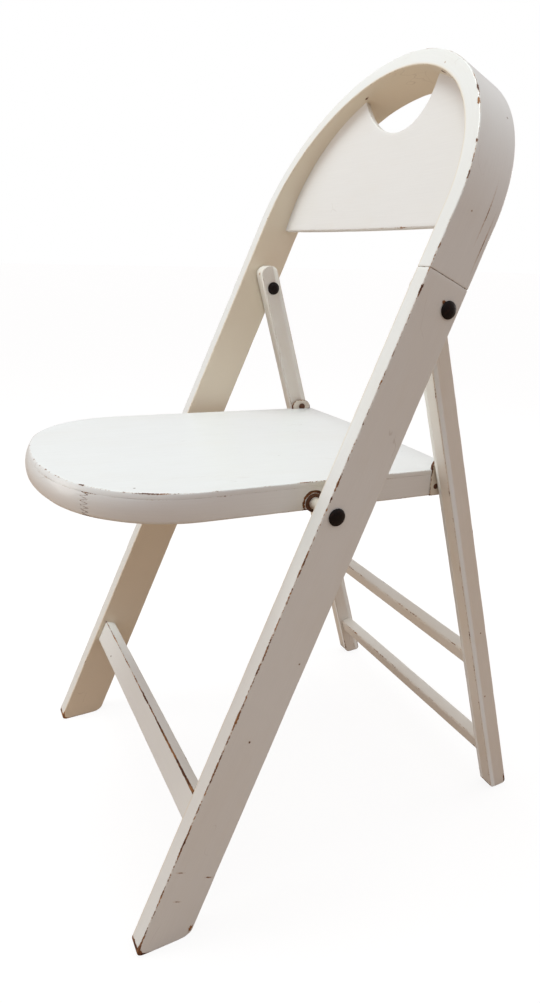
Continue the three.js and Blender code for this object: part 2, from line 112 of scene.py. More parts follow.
def section(width, depth, radii, spread=SPREAD):
    """Points round the section, and how far each one is from the nearest corner."""
    corners = np.array([(0, 0), (width, 0), (width, depth), (0, depth)], float)
    points = []
    for k in range(4):
        here, after = corners[k], corners[(k + 1) % 4]
        back = (corners[k - 1] - here) / np.linalg.norm(corners[k - 1] - here)
        onward = (after - here) / np.linalg.norm(after - here)
        centre = here + (back + onward) * radii[k]
        for turn in np.linspace(0, math.pi / 2, CORNER_STEPS + 1):
            points.append(centre - (onward * math.cos(turn) + back * math.sin(turn)) * radii[k])
        start, stop = here + onward * radii[k], after - onward * radii[(k + 1) % 4]
        points += [start + (stop - start) * t for t in spread]
    points = np.array(points)
    eased = np.array(radii) * (math.sqrt(2) - 1)
    edge = (np.linalg.norm(points[:, None] - corners, axis=2) - eased).min(1)
    return points, np.clip(edge, 0, None)


print("points round a section:", len(section(1, 1, (0.1,) * 4)[0]))

# %% Weave a grid of points into a closed mesh
# one of these marks is the painted shade on the hoop's inner face
MARKS = ("edge", "wear", "yellow")  # what a point remembers for the paint, besides its place


def add_object(name, data):
    made = bpy.data.objects.new(name, data)
    bpy.context.scene.collection.objects.link(made)
    return made


def weave(name, grid, marks, matrix, loop_path=False, loop_ring=True):
    """Rows follow the path and columns go round the ring. Open ends are capped."""
    rows, columns = grid.shape[:2]
    flat = grid.reshape(-1, 3)
    turn = np.array(matrix)
    points = flat @ turn[:3, :3].T + turn[:3, 3]
    faces = []
    for i in range(rows if loop_path else rows - 1):
        for j in range(columns if loop_ring else columns - 1):
            a, b = i * columns, (i + 1) % rows * columns
            k = (j + 1) % columns
            faces.append((a + j, a + k, b + k, b + j))
    if not loop_ring:
        caps = (range(0, rows * columns, columns), range(columns - 1, rows * columns, columns))
        faces += [tuple(cap) for cap in caps]
    if not loop_path:
        caps = (range(columns), range((rows - 1) * columns, rows * columns))
        faces += [tuple(cap) for cap in caps]
    mesh = bpy.data.meshes.new(name)
    mesh.from_pydata(points.tolist(), [], faces)
    layer = mesh.attributes.new("stick", "FLOAT_VECTOR", "POINT")
    layer.data.foreach_set("vector", marks["stick"].astype(np.float32).ravel())
    for label in MARKS:
        layer = mesh.attributes.new(label, "FLOAT", "POINT")
        values = marks.get(label, np.zeros((rows, columns)))
        layer.data.foreach_set("value", values.astype(np.float32).ravel())
    tidy = bmesh.new()
    tidy.from_mesh(mesh)
    bmesh.ops.recalc_face_normals(tidy, faces=tidy.faces)
    tidy.to_mesh(mesh)
    tidy.free()
    mesh.polygons.foreach_set("use_smooth", [True] * len(mesh.polygons))
    return add_object(name, mesh)


print("each point remembers its place on the stick and", MARKS)

# %% [markdown]
# ## Ends, dents and worn corners
#
# The foot of a leg is cut to the floor and its toe and heel are rounded. Rows of points near an
# end slide along the stick to follow that shape and even out again further up. Corners are never
# as true as a drawing: a slow noise pulls them in by a few tenths of a millimetre.

# %% Shape an end, and dent a corner
STEP = 5 * MM
EASE = 0.8 * MM  # rounding where an end meets the sides
END_REACH = 90 * MM  # how far up the stick an end's slant is felt, or half way on a short piece
DENT = 0.35 * MM
DENT_REACH = 1.6 * MM
NEXT_DENTS = 7.3  # moves the noise along for each new stick
DENT_SCALE = (90, 90, 45)  # dents per metre across, through and along the stick
SMALL_DENT = 0.35  # the depth of smaller dents upon the dents, as a share
SMALL_DENT_SCALE = 4  # and how much closer together they are
TOO_FAR = 0.05  # a pull weaker than this share is left out


def near(distance, reach):
    """1 at no distance, fading to nothing a little beyond the reach."""
    return np.exp(-((distance / reach) ** 2))


def rounded_over(distance, radius):
    inside = np.clip(radius - distance, 0, radius)
    return radius - np.sqrt(radius**2 - inside**2) if radius else 0 * distance


def cut_end(depth, slope=0.0, front=0.0, back=0.0):
    """An end cut at that slope, with its front and back corners rounded."""
    def shape(v):
        slant = slope * (v if slope > 0 else v - depth)
        return slant + rounded_over(v, front) + rounded_over(depth - v, back)
    return shape


def square_end(v):
    return 0 * v


def dents(points, edge, number):
    close = near(edge, DENT_REACH)
    depth = np.zeros(len(points))
    for i in np.flatnonzero(close > TOO_FAR):
        at = Vector(points[i] * DENT_SCALE + (number * NEXT_DENTS, 0, 0))
        depth[i] = max(0.0, noise.noise(at) + SMALL_DENT * noise.noise(at * SMALL_DENT_SCALE))
    return depth * close * DENT


print("corners are pulled in by at most about", round(DENT / MM * (1 + SMALL_DENT), 2), "mm")


# %% Make a stick
CAP_RINGS = (0.4, 0.8)  # rings inside an end, as shares of its size
END_RINGS = 4  # rings over the rounding of an end
NEXT_WOOD = 0.6  # metres between the wood of one stick and the next
stick_count = 0


def stick(name, place, length, size, radii, matrix, wear, start=square_end, stop=square_end,
          spread=SPREAD, rows=(), carve=None, step=STEP, ease=EASE, yellow=None, rim=None):
    """Place turns (across, through, along) into the bench's x, y, z. The rest shape the stick."""
    global stick_count
    stick_count += 1
    turns = np.linspace(0, math.pi / 2, END_RINGS)
    reach = min(END_REACH, length / 2)
    stations = [(0, scale, ease) for scale in CAP_RINGS]
    stations += [(ease * (1 - math.cos(t)), 1, ease * (1 - math.sin(t))) for t in turns]
    middle = np.unique(np.concatenate([np.arange(ease * 2, length - ease * 1.5, step), rows]))
    stations += [(s, 1, 0) for s in middle]
    stations += [(length - ease * (1 - math.cos(t)), 1, ease * (1 - math.sin(t)))
                 for t in turns[::-1]]
    stations += [(length, scale, ease) for scale in CAP_RINGS[::-1]]
    grid, sticks, edges = [], [], []
    for s, scale, inset in stations:
        width, depth = size(s) if callable(size) else size
        corner = radii(s) if callable(radii) else radii
        ring, edge = section(width, depth, corner, spread)
        half_size = np.array([width, depth]) / 2
        shrink = scale * (1 - inset / half_size)
        ring = half_size + (ring - half_size) * shrink
        to_end = min(s, length - s) if scale == 1 else (1 - scale) * width / 2
        edge = np.minimum(edge, to_end)
        if rim:
            edge = np.minimum(edge, rim(ring[:, 0], ring[:, 1], s))
        along = s + start(ring[:, 1]) * max(0, 1 - s / reach)
        along = along - stop(ring[:, 1]) * max(0, 1 - (length - s) / reach)
        where = np.column_stack([ring, along])
        pull = dents(where, edge, stick_count)
        inward = half_size - ring
        inward /= np.maximum(np.linalg.norm(inward, axis=1), MM)[:, None]
        ring = ring + inward * pull[:, None]
        if carve:
            ring = carve(ring, along)
        grid.append(place(ring[:, 0], ring[:, 1], along))
        sticks.append(where + (stick_count * NEXT_WOOD, 0, 0))
        edges.append(edge / MM)
    grid, sticks, edges = np.array(grid), np.array(sticks), np.array(edges)
    at = sticks - (stick_count * NEXT_WOOD, 0, 0)
    marks = {"stick": sticks, "edge": edges, "wear": wear(at[..., 0], at[..., 1], at[..., 2])}
    if yellow:
        marks["yellow"] = yellow(at[..., 0], at[..., 1], at[..., 2])
    piece = weave(name, grid, marks, matrix)
    print(f"{name}: {len(piece.data.polygons)} faces, {length / MM:.0f} mm long")
    return piece


def spots(u, v, s, places):
    """Extra wear near chosen places, each (u, v, s, reach, strength), all but strength in mm."""
    extra = np.zeros(np.broadcast(u, v, s).shape)
    for pu, pv, ps, reach, strength in places:
        away = np.sqrt((u / MM - pu) ** 2 + (v / MM - pv) ** 2 + (s / MM - ps) ** 2)
        extra = np.maximum(extra, strength * near(away, reach))
    return extra


def measure(line):
    """The distance walked along a line at each of its points."""
    return np.append(0, np.cumsum(np.linalg.norm(np.diff(line, axis=0), axis=1)))


def walk(line, walked, s):
    """The points at distances s along a line."""
    return np.column_stack([np.interp(s, walked, line[:, k]) for k in (0, 1)])


print("rows of points every", round(STEP / MM, 1), "mm along a stick")


# %% [markdown]
# ## The bent hoop
#
# The front legs and the back are one stick of beech, steamed and bent round a form. The bend runs
# up the right leg, over the top and a short way down the left, where it meets the left leg in a
# splice. The line is two straight legs and half an ellipse, a little thinner at the crown and a
# little askew, as a bend made by hand is.

# %% Hoop
ARCH_CENTRE = 754 * MM
CROWN_THICK = 18.2 * MM
CROWN_SHIFT = 4.5 * MM
HOOP_TOE = 8 * MM
HOOP_HEEL = 9 * MM
HOOP_CORNER = 1.5 * MM
LEAN_SLOPE = math.tan(HOOP_LEAN)

hoop_low, hoop_high = bench_box("hoop_leg_left", hoop_bench)
HOOP_HALF = hoop_high[0]
HOOP_DEPTH = hoop_high[1] - hoop_low[1]
HOOP_THICK = 19 * MM
HOOP_INSIDE = HOOP_HALF - HOOP_THICK
ARCH_RISE = bench_box("hoop_bend", hoop_bench)[1][2] - ARCH_CENTRE
ARCH_POINTS = 181
SPLICE = 695.5 * MM
GAP = 0.3 * MM  # left between two pieces that meet
PLAIN_WEAR, EDGE_WEAR, LOW_WEAR = 0.27, 0.16, 0.19
SOLE_WEAR, TOE_WEAR, SPLICE_WEAR = 0.42, 1.3, 0.36
WORN_BELOW, WORN_FADE = 620 * MM, 350 * MM
# how far in from the inner face the painted shade reaches
INNER_SHADE_DEEP = HOOP_THICK / 6


def arch(inset, crown_inset, angle):
    x = (HOOP_HALF - inset) * np.cos(angle) + CROWN_SHIFT * np.sin(angle)
    return np.column_stack([x, ARCH_CENTRE + (ARCH_RISE - crown_inset) * np.sin(angle)])


def hoop_edge(inset, crown_inset):
    over = arch(inset, crown_inset, np.linspace(math.pi, 0, ARCH_POINTS))
    half = HOOP_HALF - inset
    return np.vstack([[(-half, 0)], over, [(half, 0)]])


outer_edge = hoop_edge(0, 0)
inner_edge = hoop_edge(HOOP_THICK, CROWN_THICK)
middle_edge = (outer_edge + inner_edge) / 2
walked = measure(middle_edge)


def on_hoop(u, v, s):
    outside, inside = walk(outer_edge, walked, s), walk(inner_edge, walked, s)
    x_z = outside + (inside - outside) * (u / HOOP_THICK)[:, None]
    return np.column_stack([x_z[:, 0], v, x_z[:, 1]])


def on_left_leg(u, v, s):
    return np.column_stack([HOOP_HALF - u, v, s])


def leg_wear(u, v, s):
    """Most wear is on the outer front edge, more of it low down, and most of all at the toe."""
    low = np.clip((WORN_BELOW - s) / WORN_FADE, 0, 1)
    outer_front = near(np.hypot(u, v), 6 * MM)
    sole = SOLE_WEAR * near(s - LEAN_SLOPE * v, 3 * MM)
    toe = TOE_WEAR * near(np.hypot(v - 3 * MM, s - 3 * MM), 8 * MM)
    return PLAIN_WEAR + (EDGE_WEAR + LOW_WEAR * low) * outer_front + sole + toe


def front_leg_wear(splice_at, chips):
    """The wear of a stick of the hoop, with its splice and its own chips."""
    def wear(u, v, s):
        at_splice = SPLICE_WEAR * near(splice_at - s, 6 * MM)
        return np.maximum(np.maximum(leg_wear(u, v, s), at_splice), spots(u, v, s, chips))
    return wear


def inner_face_shade(u, v, s):
    """Painted shade: the inner face is painted a darker tan, standing in for the warm shade it lies in."""
    return np.clip(1 - (HOOP_THICK - u) / INNER_SHADE_DEEP, 0, 1)


def hoop_stick(name, place, length, wear):
    return stick(name, place, length, (HOOP_THICK, HOOP_DEPTH), (HOOP_CORNER,) * 4, hoop_bench, wear,
                 start=cut_end(HOOP_DEPTH, LEAN_SLOPE, HOOP_TOE, HOOP_HEEL), yellow=inner_face_shade)


bend_length = walked[-1] - SPLICE
bend_chips = [(0, 0, 1213, 9, 0.85), (0, 0, 1290, 6, 0.75)]
leg_spots = [(0, 0, 672, 8, 0.85), (0, 0, 486, 9, 0.75), (0, 0, 470, 6, 0.8), (0, 0, 250, 12, 0.75)]
bend = hoop_stick("bent_hoop", on_hoop, bend_length - GAP, front_leg_wear(bend_length, bend_chips))
left_leg = hoop_stick("left_front_leg", on_left_leg, SPLICE, front_leg_wear(SPLICE, leg_spots))

# %% [markdown]
# ## The back panel
#
# A thin sheet of plywood, bowed a little backwards, sits in a groove in the hoop. Its top edge is
# cut away in an askew half oval, which with the hoop above makes a hole for the hand. It is made
# as a stick too: a section 7 mm thick whose height changes as it goes across the chair.

# %% Panel
PANEL_LEAN = math.radians(6.9)
PANEL_BOTTOM = 751.2 * MM
PANEL_WEAR = 0.28
PANEL_FRONT = 30.5 * MM
PANEL_THICK = 7 * MM
PANEL_DISH = 5 * MM
PANEL_CORNER = 1.6 * MM
HIDDEN = 1.5 * MM  # how far the sheet goes into the hoop
NOTCH_CENTRE = (-24 * MM, 205 * MM)
NOTCH_HALF = (67 * MM, 107.5 * MM)
NOTCH_TILT = math.radians(38)


def notch_floor(x):
    """The height of the lower side of a tilted ellipse at x, or no limit beyond its ends."""
    c, s = math.cos(NOTCH_TILT), math.sin(NOTCH_TILT)
    a, b = NOTCH_HALF
    xx, yy = (c / a) ** 2 + (s / b) ** 2, (s / a) ** 2 + (c / b) ** 2
    xy = 2 * c * s * (1 / a**2 - 1 / b**2)
    across = x - NOTCH_CENTRE[0]
    root = (xy * across) ** 2 - 4 * yy * (xx * across**2 - 1)
    low = (-xy * across - np.sqrt(np.clip(root, 0, None))) / (2 * yy)
    return np.where(root > 0, NOTCH_CENTRE[1] + low, np.inf)


panel_angles = np.linspace(math.pi - 0.01, 0.03, 400)
panel_edge = arch(HOOP_THICK - HIDDEN, CROWN_THICK - HIDDEN, panel_angles)
panel_left, panel_right = panel_edge[0, 0], panel_edge[-1, 0]
panel_width = panel_right - panel_left


def panel_height(x):
    under_hoop = np.interp(x, panel_edge[:, 0], panel_edge[:, 1]) - PANEL_BOTTOM
    return np.minimum(under_hoop / math.cos(PANEL_LEAN), notch_floor(x))


def panel_size(s):
    return PANEL_THICK, float(panel_height(panel_left + s))


def panel_radii(s):
    return (min(PANEL_CORNER, panel_size(s)[1] / 3),) * 4


def on_panel(u, v, s):
    x = panel_left + s
    y = u + PANEL_DISH * (1 - (x / HOOP_HALF) ** 2)
    c, n = math.cos(PANEL_LEAN), math.sin(PANEL_LEAN)
    return np.column_stack([x, PANEL_FRONT + y * c - v * n, PANEL_BOTTOM + y * n + v * c])


def panel_wear(u, v, s):
    chips = [(0, 0, 262, 7, 0.62), (0, 215, 350, 9, 0.6)]
    return np.maximum(PANEL_WEAR, spots(u, v, s, chips))


fine = np.arange(-80 * MM, 80 * MM, 1 * MM) - panel_left  # more rows where the hand hole is
panel = stick("back_panel_sheet", on_panel, panel_width, panel_size, panel_radii, hoop_bench,
              panel_wear, spread=np.linspace(0.02, 0.98, 25), rows=fine)

# %% [markdown]
# ## Rails and rear legs
#
# The rear legs are straight sticks with a round top, a foot cut to the floor and a groove in the
# inner face for the seat's pin to slide in. The groove is carved as the stick is woven: points on
# the inner face sink in where the groove runs. Two rails join the legs and one joins the hoop.

# %% Rear legs
LEG_CORNER = 1.1 * MM
GROOVE_TOP = 167 * MM
GROOVE_END = 376 * MM
GROOVE_HALF = 4 * MM
GROOVE_DEEP = 6 * MM
LEG_CROWN = 11 * MM
LEG_WEAR, FOOT_WEAR = 0.34, 0.4
HAIR = 0.1 * MM  # rows this far on each side of a step keep it sharp

leg_low, leg_high = bench_box("rear_leg_left", leg_bench)
LEG_THICK = leg_high[0] - leg_low[0]
LEG_DEPTH = leg_high[1] - leg_low[1]
LEG_LENGTH = leg_high[2] - leg_low[2]
rear_foot = cut_end(LEG_DEPTH, -math.tan(LEG_LEAN), 5 * MM, 6 * MM)
crown = cut_end(LEG_DEPTH, 0, LEG_CROWN, LEG_CROWN)


def carve_groove(ring, along):
    below = -(leg_low[2] + along)
    across = abs(ring[:, 1] + leg_low[1])
    inside = (across < GROOVE_HALF) & (below > GROOVE_TOP) & (below < GROOVE_END)
    carved = ring.copy()
    carved[:, 0] = np.where(inside & (ring[:, 0] < MM), GROOVE_DEEP, ring[:, 0])
    return carved


def rear_leg_wear(u, v, s):
    heel = [(10, 24, 10, 22, 0.8)]
    return np.maximum(LEG_WEAR + FOOT_WEAR * near(s, 20 * MM), spots(u, v, s, heel))


def rear_leg(side, sign):
    def place(u, v, s):
        return np.column_stack([sign * (leg_low[0] + u), leg_low[1] + v, leg_low[2] + s])

    flat = LEG_DEPTH - 2 * LEG_CORNER
    groove_sides = [-leg_low[1] + side_of * (GROOVE_HALF + d)
                    for side_of in (-1, 1) for d in (-HAIR, HAIR)]
    spread = sorted({*SPREAD, *((v - LEG_CORNER) / flat for v in groove_sides)})
    spread = sorted({*spread, *(1 - t for t in spread)})
    ends = [-leg_low[2] - at + d for at in (GROOVE_TOP, GROOVE_END) for d in (-HAIR, HAIR)]
    return stick(f"rear_leg_stick_{side}", place, LEG_LENGTH, (LEG_THICK, LEG_DEPTH),
                 (LEG_CORNER,) * 4, leg_bench, rear_leg_wear, start=rear_foot, stop=crown,
                 spread=spread, rows=ends, carve=carve_groove)


rear_legs = {side: rear_leg(side, sign) for side, sign in SIDES}

# %% Rails
RAIL_CORNER = 2.5 * MM
CRISP = 1.0 * MM
RAIL_EASE = 0.2 * MM
FRONT_RAIL_WEAR, FRONT_RAIL_LINE, REAR_RAIL_WEAR = 0.36, 0.62, 0.4


def rail(name, matrix, half, box, radii, wear):
    """A stick that lies across the chair and fills the box of its node."""
    low, high = box

    def place(u, v, s):
        return np.column_stack([s - half, low[1] + v, low[2] + u])

    size = (high[2] - low[2], high[1] - low[1])
    return stick(name, place, 2 * half, size, radii, matrix, wear, ease=RAIL_EASE)


def front_rail_wear(u, v, s):
    """A worn line on the upper front edge, which grows broader to the left."""
    top_front = near(np.hypot(u - 29.5 * MM, v), 4 * MM)
    line = FRONT_RAIL_LINE + 0.5 * np.clip((s - 150 * MM) / (180 * MM), 0, 1)
    chips = [(29.5, 15, 300, 8, 0.7), (27, 12, 240, 7, 0.7)]
    worn = FRONT_RAIL_WEAR + (line - FRONT_RAIL_WEAR) * top_front
    return np.maximum(worn, spots(u, v, s, chips))


def rear_rail_wear(u, v, s):
    return REAR_RAIL_WEAR + 0 * s


front_rail = rail("front_rail_stick", hoop_bench, HOOP_INSIDE - GAP / 2,
                  bench_box("front_rail", hoop_bench),
                  (RAIL_CORNER, CRISP, 3.5 * MM, RAIL_CORNER), front_rail_wear)
rear_rails = {level: rail(f"rear_rail_stick_{level}", leg_bench, leg_low[0] - GAP / 2,
                          bench_box(f"rear_rail_{level}", leg_bench),
                          (RAIL_CORNER,) * 4, rear_rail_wear)
              for level in ("upper", "lower")}

# %% [markdown]
# ## The seat
#
# The seat is a thin board on a bent rim. Its outline is two straight sides, a tight arc at each
# front corner and one wide arc across the front. The front swells outwards a little and rounds over
# below, and the sides are nearly flat. The rim is two bent sticks that meet in a toothed joint at the
# left front corner, and the crack of that joint shows through the paint.

# %% Seat outline
FRONT_RADIUS = 250 * MM
CORNER_RADIUS = 120 * MM
board_low, board_high = bench_box("seat_board", seat_bench)
rim_low, rim_high = bench_box("seat_rim", seat_bench)
SEAT_HALF = board_high[0]
SEAT_FRONT = board_low[1]
SEAT_BACK = rim_high[1]
SEAT_BOW = board_high[1] - SEAT_BACK
RIM_WALL = 20 * MM
BELLY = 3.0 * MM
BELLY_AT = 0.45  # height of the fullest part, as a share of the seat's thickness
BELLY_START = 0.4 * MM
FRONT_FULL = 0.55  # the swelling is gone this far round, as a share of the way to the back
corner_x = SEAT_HALF - CORNER_RADIUS
front_centre = SEAT_FRONT + FRONT_RADIUS
corner_y = front_centre - math.sqrt((FRONT_RADIUS - CORNER_RADIUS) ** 2 - corner_x**2)
corner_lean = math.atan2(corner_x, front_centre - corner_y)


def arc_points(centre, radius, first, last):
    angles = np.linspace(first, last, ARC_POINTS)
    return np.column_stack([centre[0] + radius * np.cos(angles), centre[1] + radius * np.sin(angles)])


SIDE_POINTS, ARC_POINTS = 60, 40
down = -math.pi / 2
sides = np.linspace(SEAT_BACK, corner_y, SIDE_POINTS)
left_side = np.column_stack([SEAT_HALF + 0 * sides, sides])
right_side = np.column_stack([-SEAT_HALF + 0 * sides, sides])[::-1]
left_corner = arc_points((corner_x, corner_y), CORNER_RADIUS, 0, down + corner_lean)
front = arc_points((0, front_centre), FRONT_RADIUS, down + corner_lean, down - corner_lean)
right_corner = arc_points((-corner_x, corner_y), CORNER_RADIUS, down - corner_lean, -math.pi)
around = np.vstack([left_side, left_corner[1:], front[1:], right_corner[1:], right_side[1:]])
around_s = measure(around)
round_length = around_s[-1]


def along_outline(s):
    """The outline's points and inward directions at distances s from the left rear corner."""
    way = walk(around, around_s, s + MM) - walk(around, around_s, s - MM)
    way /= np.linalg.norm(way, axis=1)[:, None]
    return walk(around, around_s, s), np.column_stack([way[:, 1], -way[:, 0]])


def front_share(s):
    """1 across the front, easing to 0 along the sides."""
    middle = round_length / 2
    share = np.clip(1.25 - abs(s - middle) / (middle * FRONT_FULL), 0, 1)
    return share * share * (3 - 2 * share)


def belly(s, z):
    """How far the front swells outwards at height z."""
    low, high = rim_low[2], board_high[2]
    away = (z - low - (high - low) * BELLY_AT) / (high - low)
    return BELLY * front_share(s) * (1 - (away / BELLY_AT) ** 2) - BELLY_START * front_share(s)


print("seat outline", round(round_length / MM), "mm round the front")

# %% Rim
FRONT_NOSE = 4.5 * MM  # rounding of the lower edge at the front
SIDE_NOSE = 2.2 * MM
RIM_CRISP = 0.1 * MM
RIM_BACK = 2.5 * MM
RIM_STEP = 4 * MM
RIM_SPREAD = np.linspace(0.02, 0.98, 33)
# the wear of the turned ring round each pivot is a painted shadow in its groove
RIM_WEAR, RING_SHADOW_WEAR, JOINT_WEAR = 0.30, 0.5, 0.30
JOINT_ANGLE = math.radians(40)
JOINT_TEETH = 6
JOINT_REACH = 9 * MM
SEAM = 0.2 * MM
RING_RADIUS = 11.4 * MM  # a ring turned in the rim round each pivot
RING_HALF = 0.8 * MM
RING_DEEP = 0.9 * MM
rim_height = rim_high[2] - rim_low[2] + SEAM
ear_low, ear_high = bench_box("seat_ear_left", seat_bench)
EAR_ROOM = ear_high[0] - ear_low[0] + GAP
joint_s = (SEAT_BACK - corner_y) + CORNER_RADIUS * (math.pi / 2 - JOINT_ANGLE)


def from_pivot(v, s):
    """Distance from the seat's pivot, for a point on the outside of the rim."""
    at, _ = along_outline(np.atleast_1d(np.asarray(s, float)))
    return np.hypot(at[:, 1], rim_low[2] + v)


def by_ear(y):
    return (y > ear_low[1] - GAP) & (y < ear_high[1] + GAP)


def on_rim(u, v, s):
    """Sink the turned ring, swell the front, and make room for the ears."""
    at, inward = along_outline(np.asarray(s, float))
    ring_away = abs(from_pivot(v, s) - RING_RADIUS) / RING_HALF
    u = u + np.where(u < MM, RING_DEEP * np.clip(2 * (1 - ring_away), 0, 1), 0)
    u = u - belly(s, rim_low[2] + v) * np.clip(1 - u / RIM_WALL, 0, 1)
    u = np.where(by_ear(at[:, 1]), EAR_ROOM + u * (1 - EAR_ROOM / RIM_WALL), u)
    return np.column_stack([at + inward * u[:, None], rim_low[2] + v])


def ring_shadow_edge(u, v, s):
    """Distance to the turned ring, which is painted as bare dark wood: a painted shadow in its groove."""
    away = np.clip(abs(from_pivot(v, s) - RING_RADIUS) - RING_HALF, 0, None)
    return np.where(u < MM, away, 1)


def rim_radii(s):
    nose = SIDE_NOSE + (FRONT_NOSE - SIDE_NOSE) * front_share(s)
    return (float(nose), RIM_BACK, RIM_CRISP, RIM_CRISP)


def teeth(v):
    share = np.clip(v / rim_height, 0, 1) * JOINT_TEETH
    return JOINT_REACH * abs(share - np.floor(share) - 0.5) * 2


def rim_wear(u, v, s):
    away = from_pivot(v.ravel(), s.ravel()).reshape(v.shape) - RING_RADIUS
    # painted shadow: more wear, so darker wood, in the turned ring round the pivot
    painted_ring_shadow = RING_SHADOW_WEAR * near(away, 2.5 * MM) * (u < 2 * MM)
    return RIM_WEAR + painted_ring_shadow + JOINT_WEAR * near(s - joint_s, 12 * MM)


def rim_stick(name, begin, length, rows, **ends):
    """A stick of the rim that begins at that distance round the outline."""
    def shifted(rule):
        return lambda *where: rule(*where[:-1], where[-1] + begin)
    return stick(name, shifted(on_rim), length, (RIM_WALL, rim_height), shifted(rim_radii),
                 seat_bench, shifted(rim_wear), spread=RIM_SPREAD, rows=rows, step=RIM_STEP,
                 rim=shifted(ring_shadow_edge), **ends)


ear_rows = [SEAT_BACK - y + d for y in (ear_low[1] - GAP, ear_high[1] + GAP) for d in (-HAIR, HAIR)]
ring_rows = SEAT_BACK + np.arange(-RING_RADIUS - 2 * MM, RING_RADIUS + 2 * MM, 0.7 * MM)
side_rows = [*ear_rows, *ring_rows]
long_start = joint_s + GAP
far_rows = [round_length - long_start - row for row in side_rows]
rim_left = rim_stick("seat_rim_short", 0, joint_s, side_rows, stop=lambda v: -teeth(v))
rim_long = rim_stick("seat_rim_long", long_start, round_length - long_start, far_rows, start=teeth)

# %% Board
BOARD_CORNER = 1.2 * MM
BACK_STRETCH = 0.1  # the rear part of each side, where inner rings shorten to clear the back edge
BOARD_RINGS = (90, 60, 40, 25, 14, 8, 5, 3, 2)  # rings inside each face, mm in from the edge
BOARD_WOOD = (9, 0, 0)  # the board's own place in the wood
BOARD_EASE = 0.3  # share of the corner that counts as edge
BOARD_WEAR, LEFT_WEAR, CORNER_WEAR = 0.36, 0.05, 0.16
board_thick = board_high[2] - board_low[2]


def bowed_back(x):
    return SEAT_BACK + SEAT_BOW * (1 - (x / SEAT_HALF) ** 2)


def board_ring(inset, height):
    """The closed outline, set in from the edge, with room for the ears."""
    side = np.unique(np.concatenate([np.arange(0, round_length, RIM_STEP), ear_rows,
                                     round_length - np.array(ear_rows), [round_length]]))
    at, inward = along_outline(side)
    over_wall = max(0, 1 - inset / RIM_WALL)
    room = np.where(by_ear(at[:, 1]), EAR_ROOM * over_wall, 0)
    swell = belly(side, board_low[2] + height) * over_wall
    ring = at + inward * (inset + room - swell)[:, None]
    ring[:, 1] -= inset * np.clip((at[:, 1] - SEAT_BACK + BACK_STRETCH) / BACK_STRETCH, 0, 1)
    across = np.linspace(-SEAT_HALF, SEAT_HALF, SIDE_POINTS)[1:-1]
    shrink = (SEAT_HALF - inset) / SEAT_HALF
    rear = np.column_stack([across * shrink, bowed_back(across) - inset])
    return np.vstack([ring, rear])


def board_wear(x, y):
    left_front = near(np.hypot((x - 140 * MM) / (30 * MM), (y + 135 * MM) / (35 * MM)), 1)
    return BOARD_WEAR + np.where(x > 100 * MM, LEFT_WEAR, 0) + CORNER_WEAR * left_front


def make_board():
    """Rings from under the board, round its edge, to the middle of its top."""
    turns = np.linspace(0, math.pi / 2, CORNER_STEPS + 1)
    low, top = RIM_CRISP, BOARD_CORNER
    rows = [(d * MM, 0.0) for d in BOARD_RINGS]
    rows += [(low * (1 - math.sin(t)), low * (1 - math.cos(t))) for t in turns]
    rows += [(top * (1 - math.cos(t)), board_thick - top * (1 - math.sin(t))) for t in turns]
    rows += [(d * MM, board_thick) for d in BOARD_RINGS[::-1]]
    grid, sticks, edges = [], [], []
    for inset, height in rows:
        ring = board_ring(inset, height)
        z = np.full(len(ring), board_low[2] + height)
        grid.append(np.column_stack([ring, z]))
        sticks.append(np.column_stack([ring[:, 0], z, ring[:, 1]]) + BOARD_WOOD)
        gone = BOARD_EASE * top
        to_edge = max(0.0, inset - gone) + max(0.0, board_thick - height - gone)
        edges.append(np.full(len(ring), to_edge / MM))
    grid = np.array(grid).transpose(1, 0, 2)
    sticks, edges = np.array(sticks).transpose(1, 0, 2), np.array(edges).T
    wear = board_wear(sticks[..., 0] - BOARD_WOOD[0], sticks[..., 2])
    marks = {"stick": sticks, "edge": edges, "wear": wear}
    piece = weave("seat_board_sheet", grid, marks, seat_bench, loop_path=True, loop_ring=False)
    print(f"seat_board_sheet: {len(piece.data.polygons)} faces")
    return piece


board = make_board()

# %% Back rail of the seat
BACK_CORNER = 1.5 * MM
BACK_GAP = 0.5 * MM
back_low, back_high = bench_box("seat_back_rail", seat_bench)
inside_half = SEAT_HALF - RIM_WALL - GAP


def back_rail_size(s):
    """The seat's back edge is bowed, so this stick is deepest in the middle."""
    depth = bowed_back(s - inside_half) - back_low[1] - BACK_GAP
    return back_high[2] - back_low[2], float(depth)


def on_back_rail(u, v, s):
    return np.column_stack([s - inside_half, back_low[1] + v, back_low[2] + u])


back_rail = stick("seat_back_rail_stick", on_back_rail, 2 * inside_half, back_rail_size,
                  (BACK_CORNER,) * 4, seat_bench, rear_rail_wear, ease=RAIL_EASE)

# %% [markdown]
# ## Ears
#
# A steel plate with a round top is let into each side of the seat near the back. It carries the
# pin that slides in the rear leg's groove. A plate is a very thin stick standing on its end.

# %% Ears
EAR_RADIUS = 11 * MM
EAR_CORNER = 0.5 * MM
EAR_STEP = 1.5 * MM
EAR_EASE = 0.4 * MM
EAR_WEAR, SEAT_LINE_WEAR = 0.62, 0.35


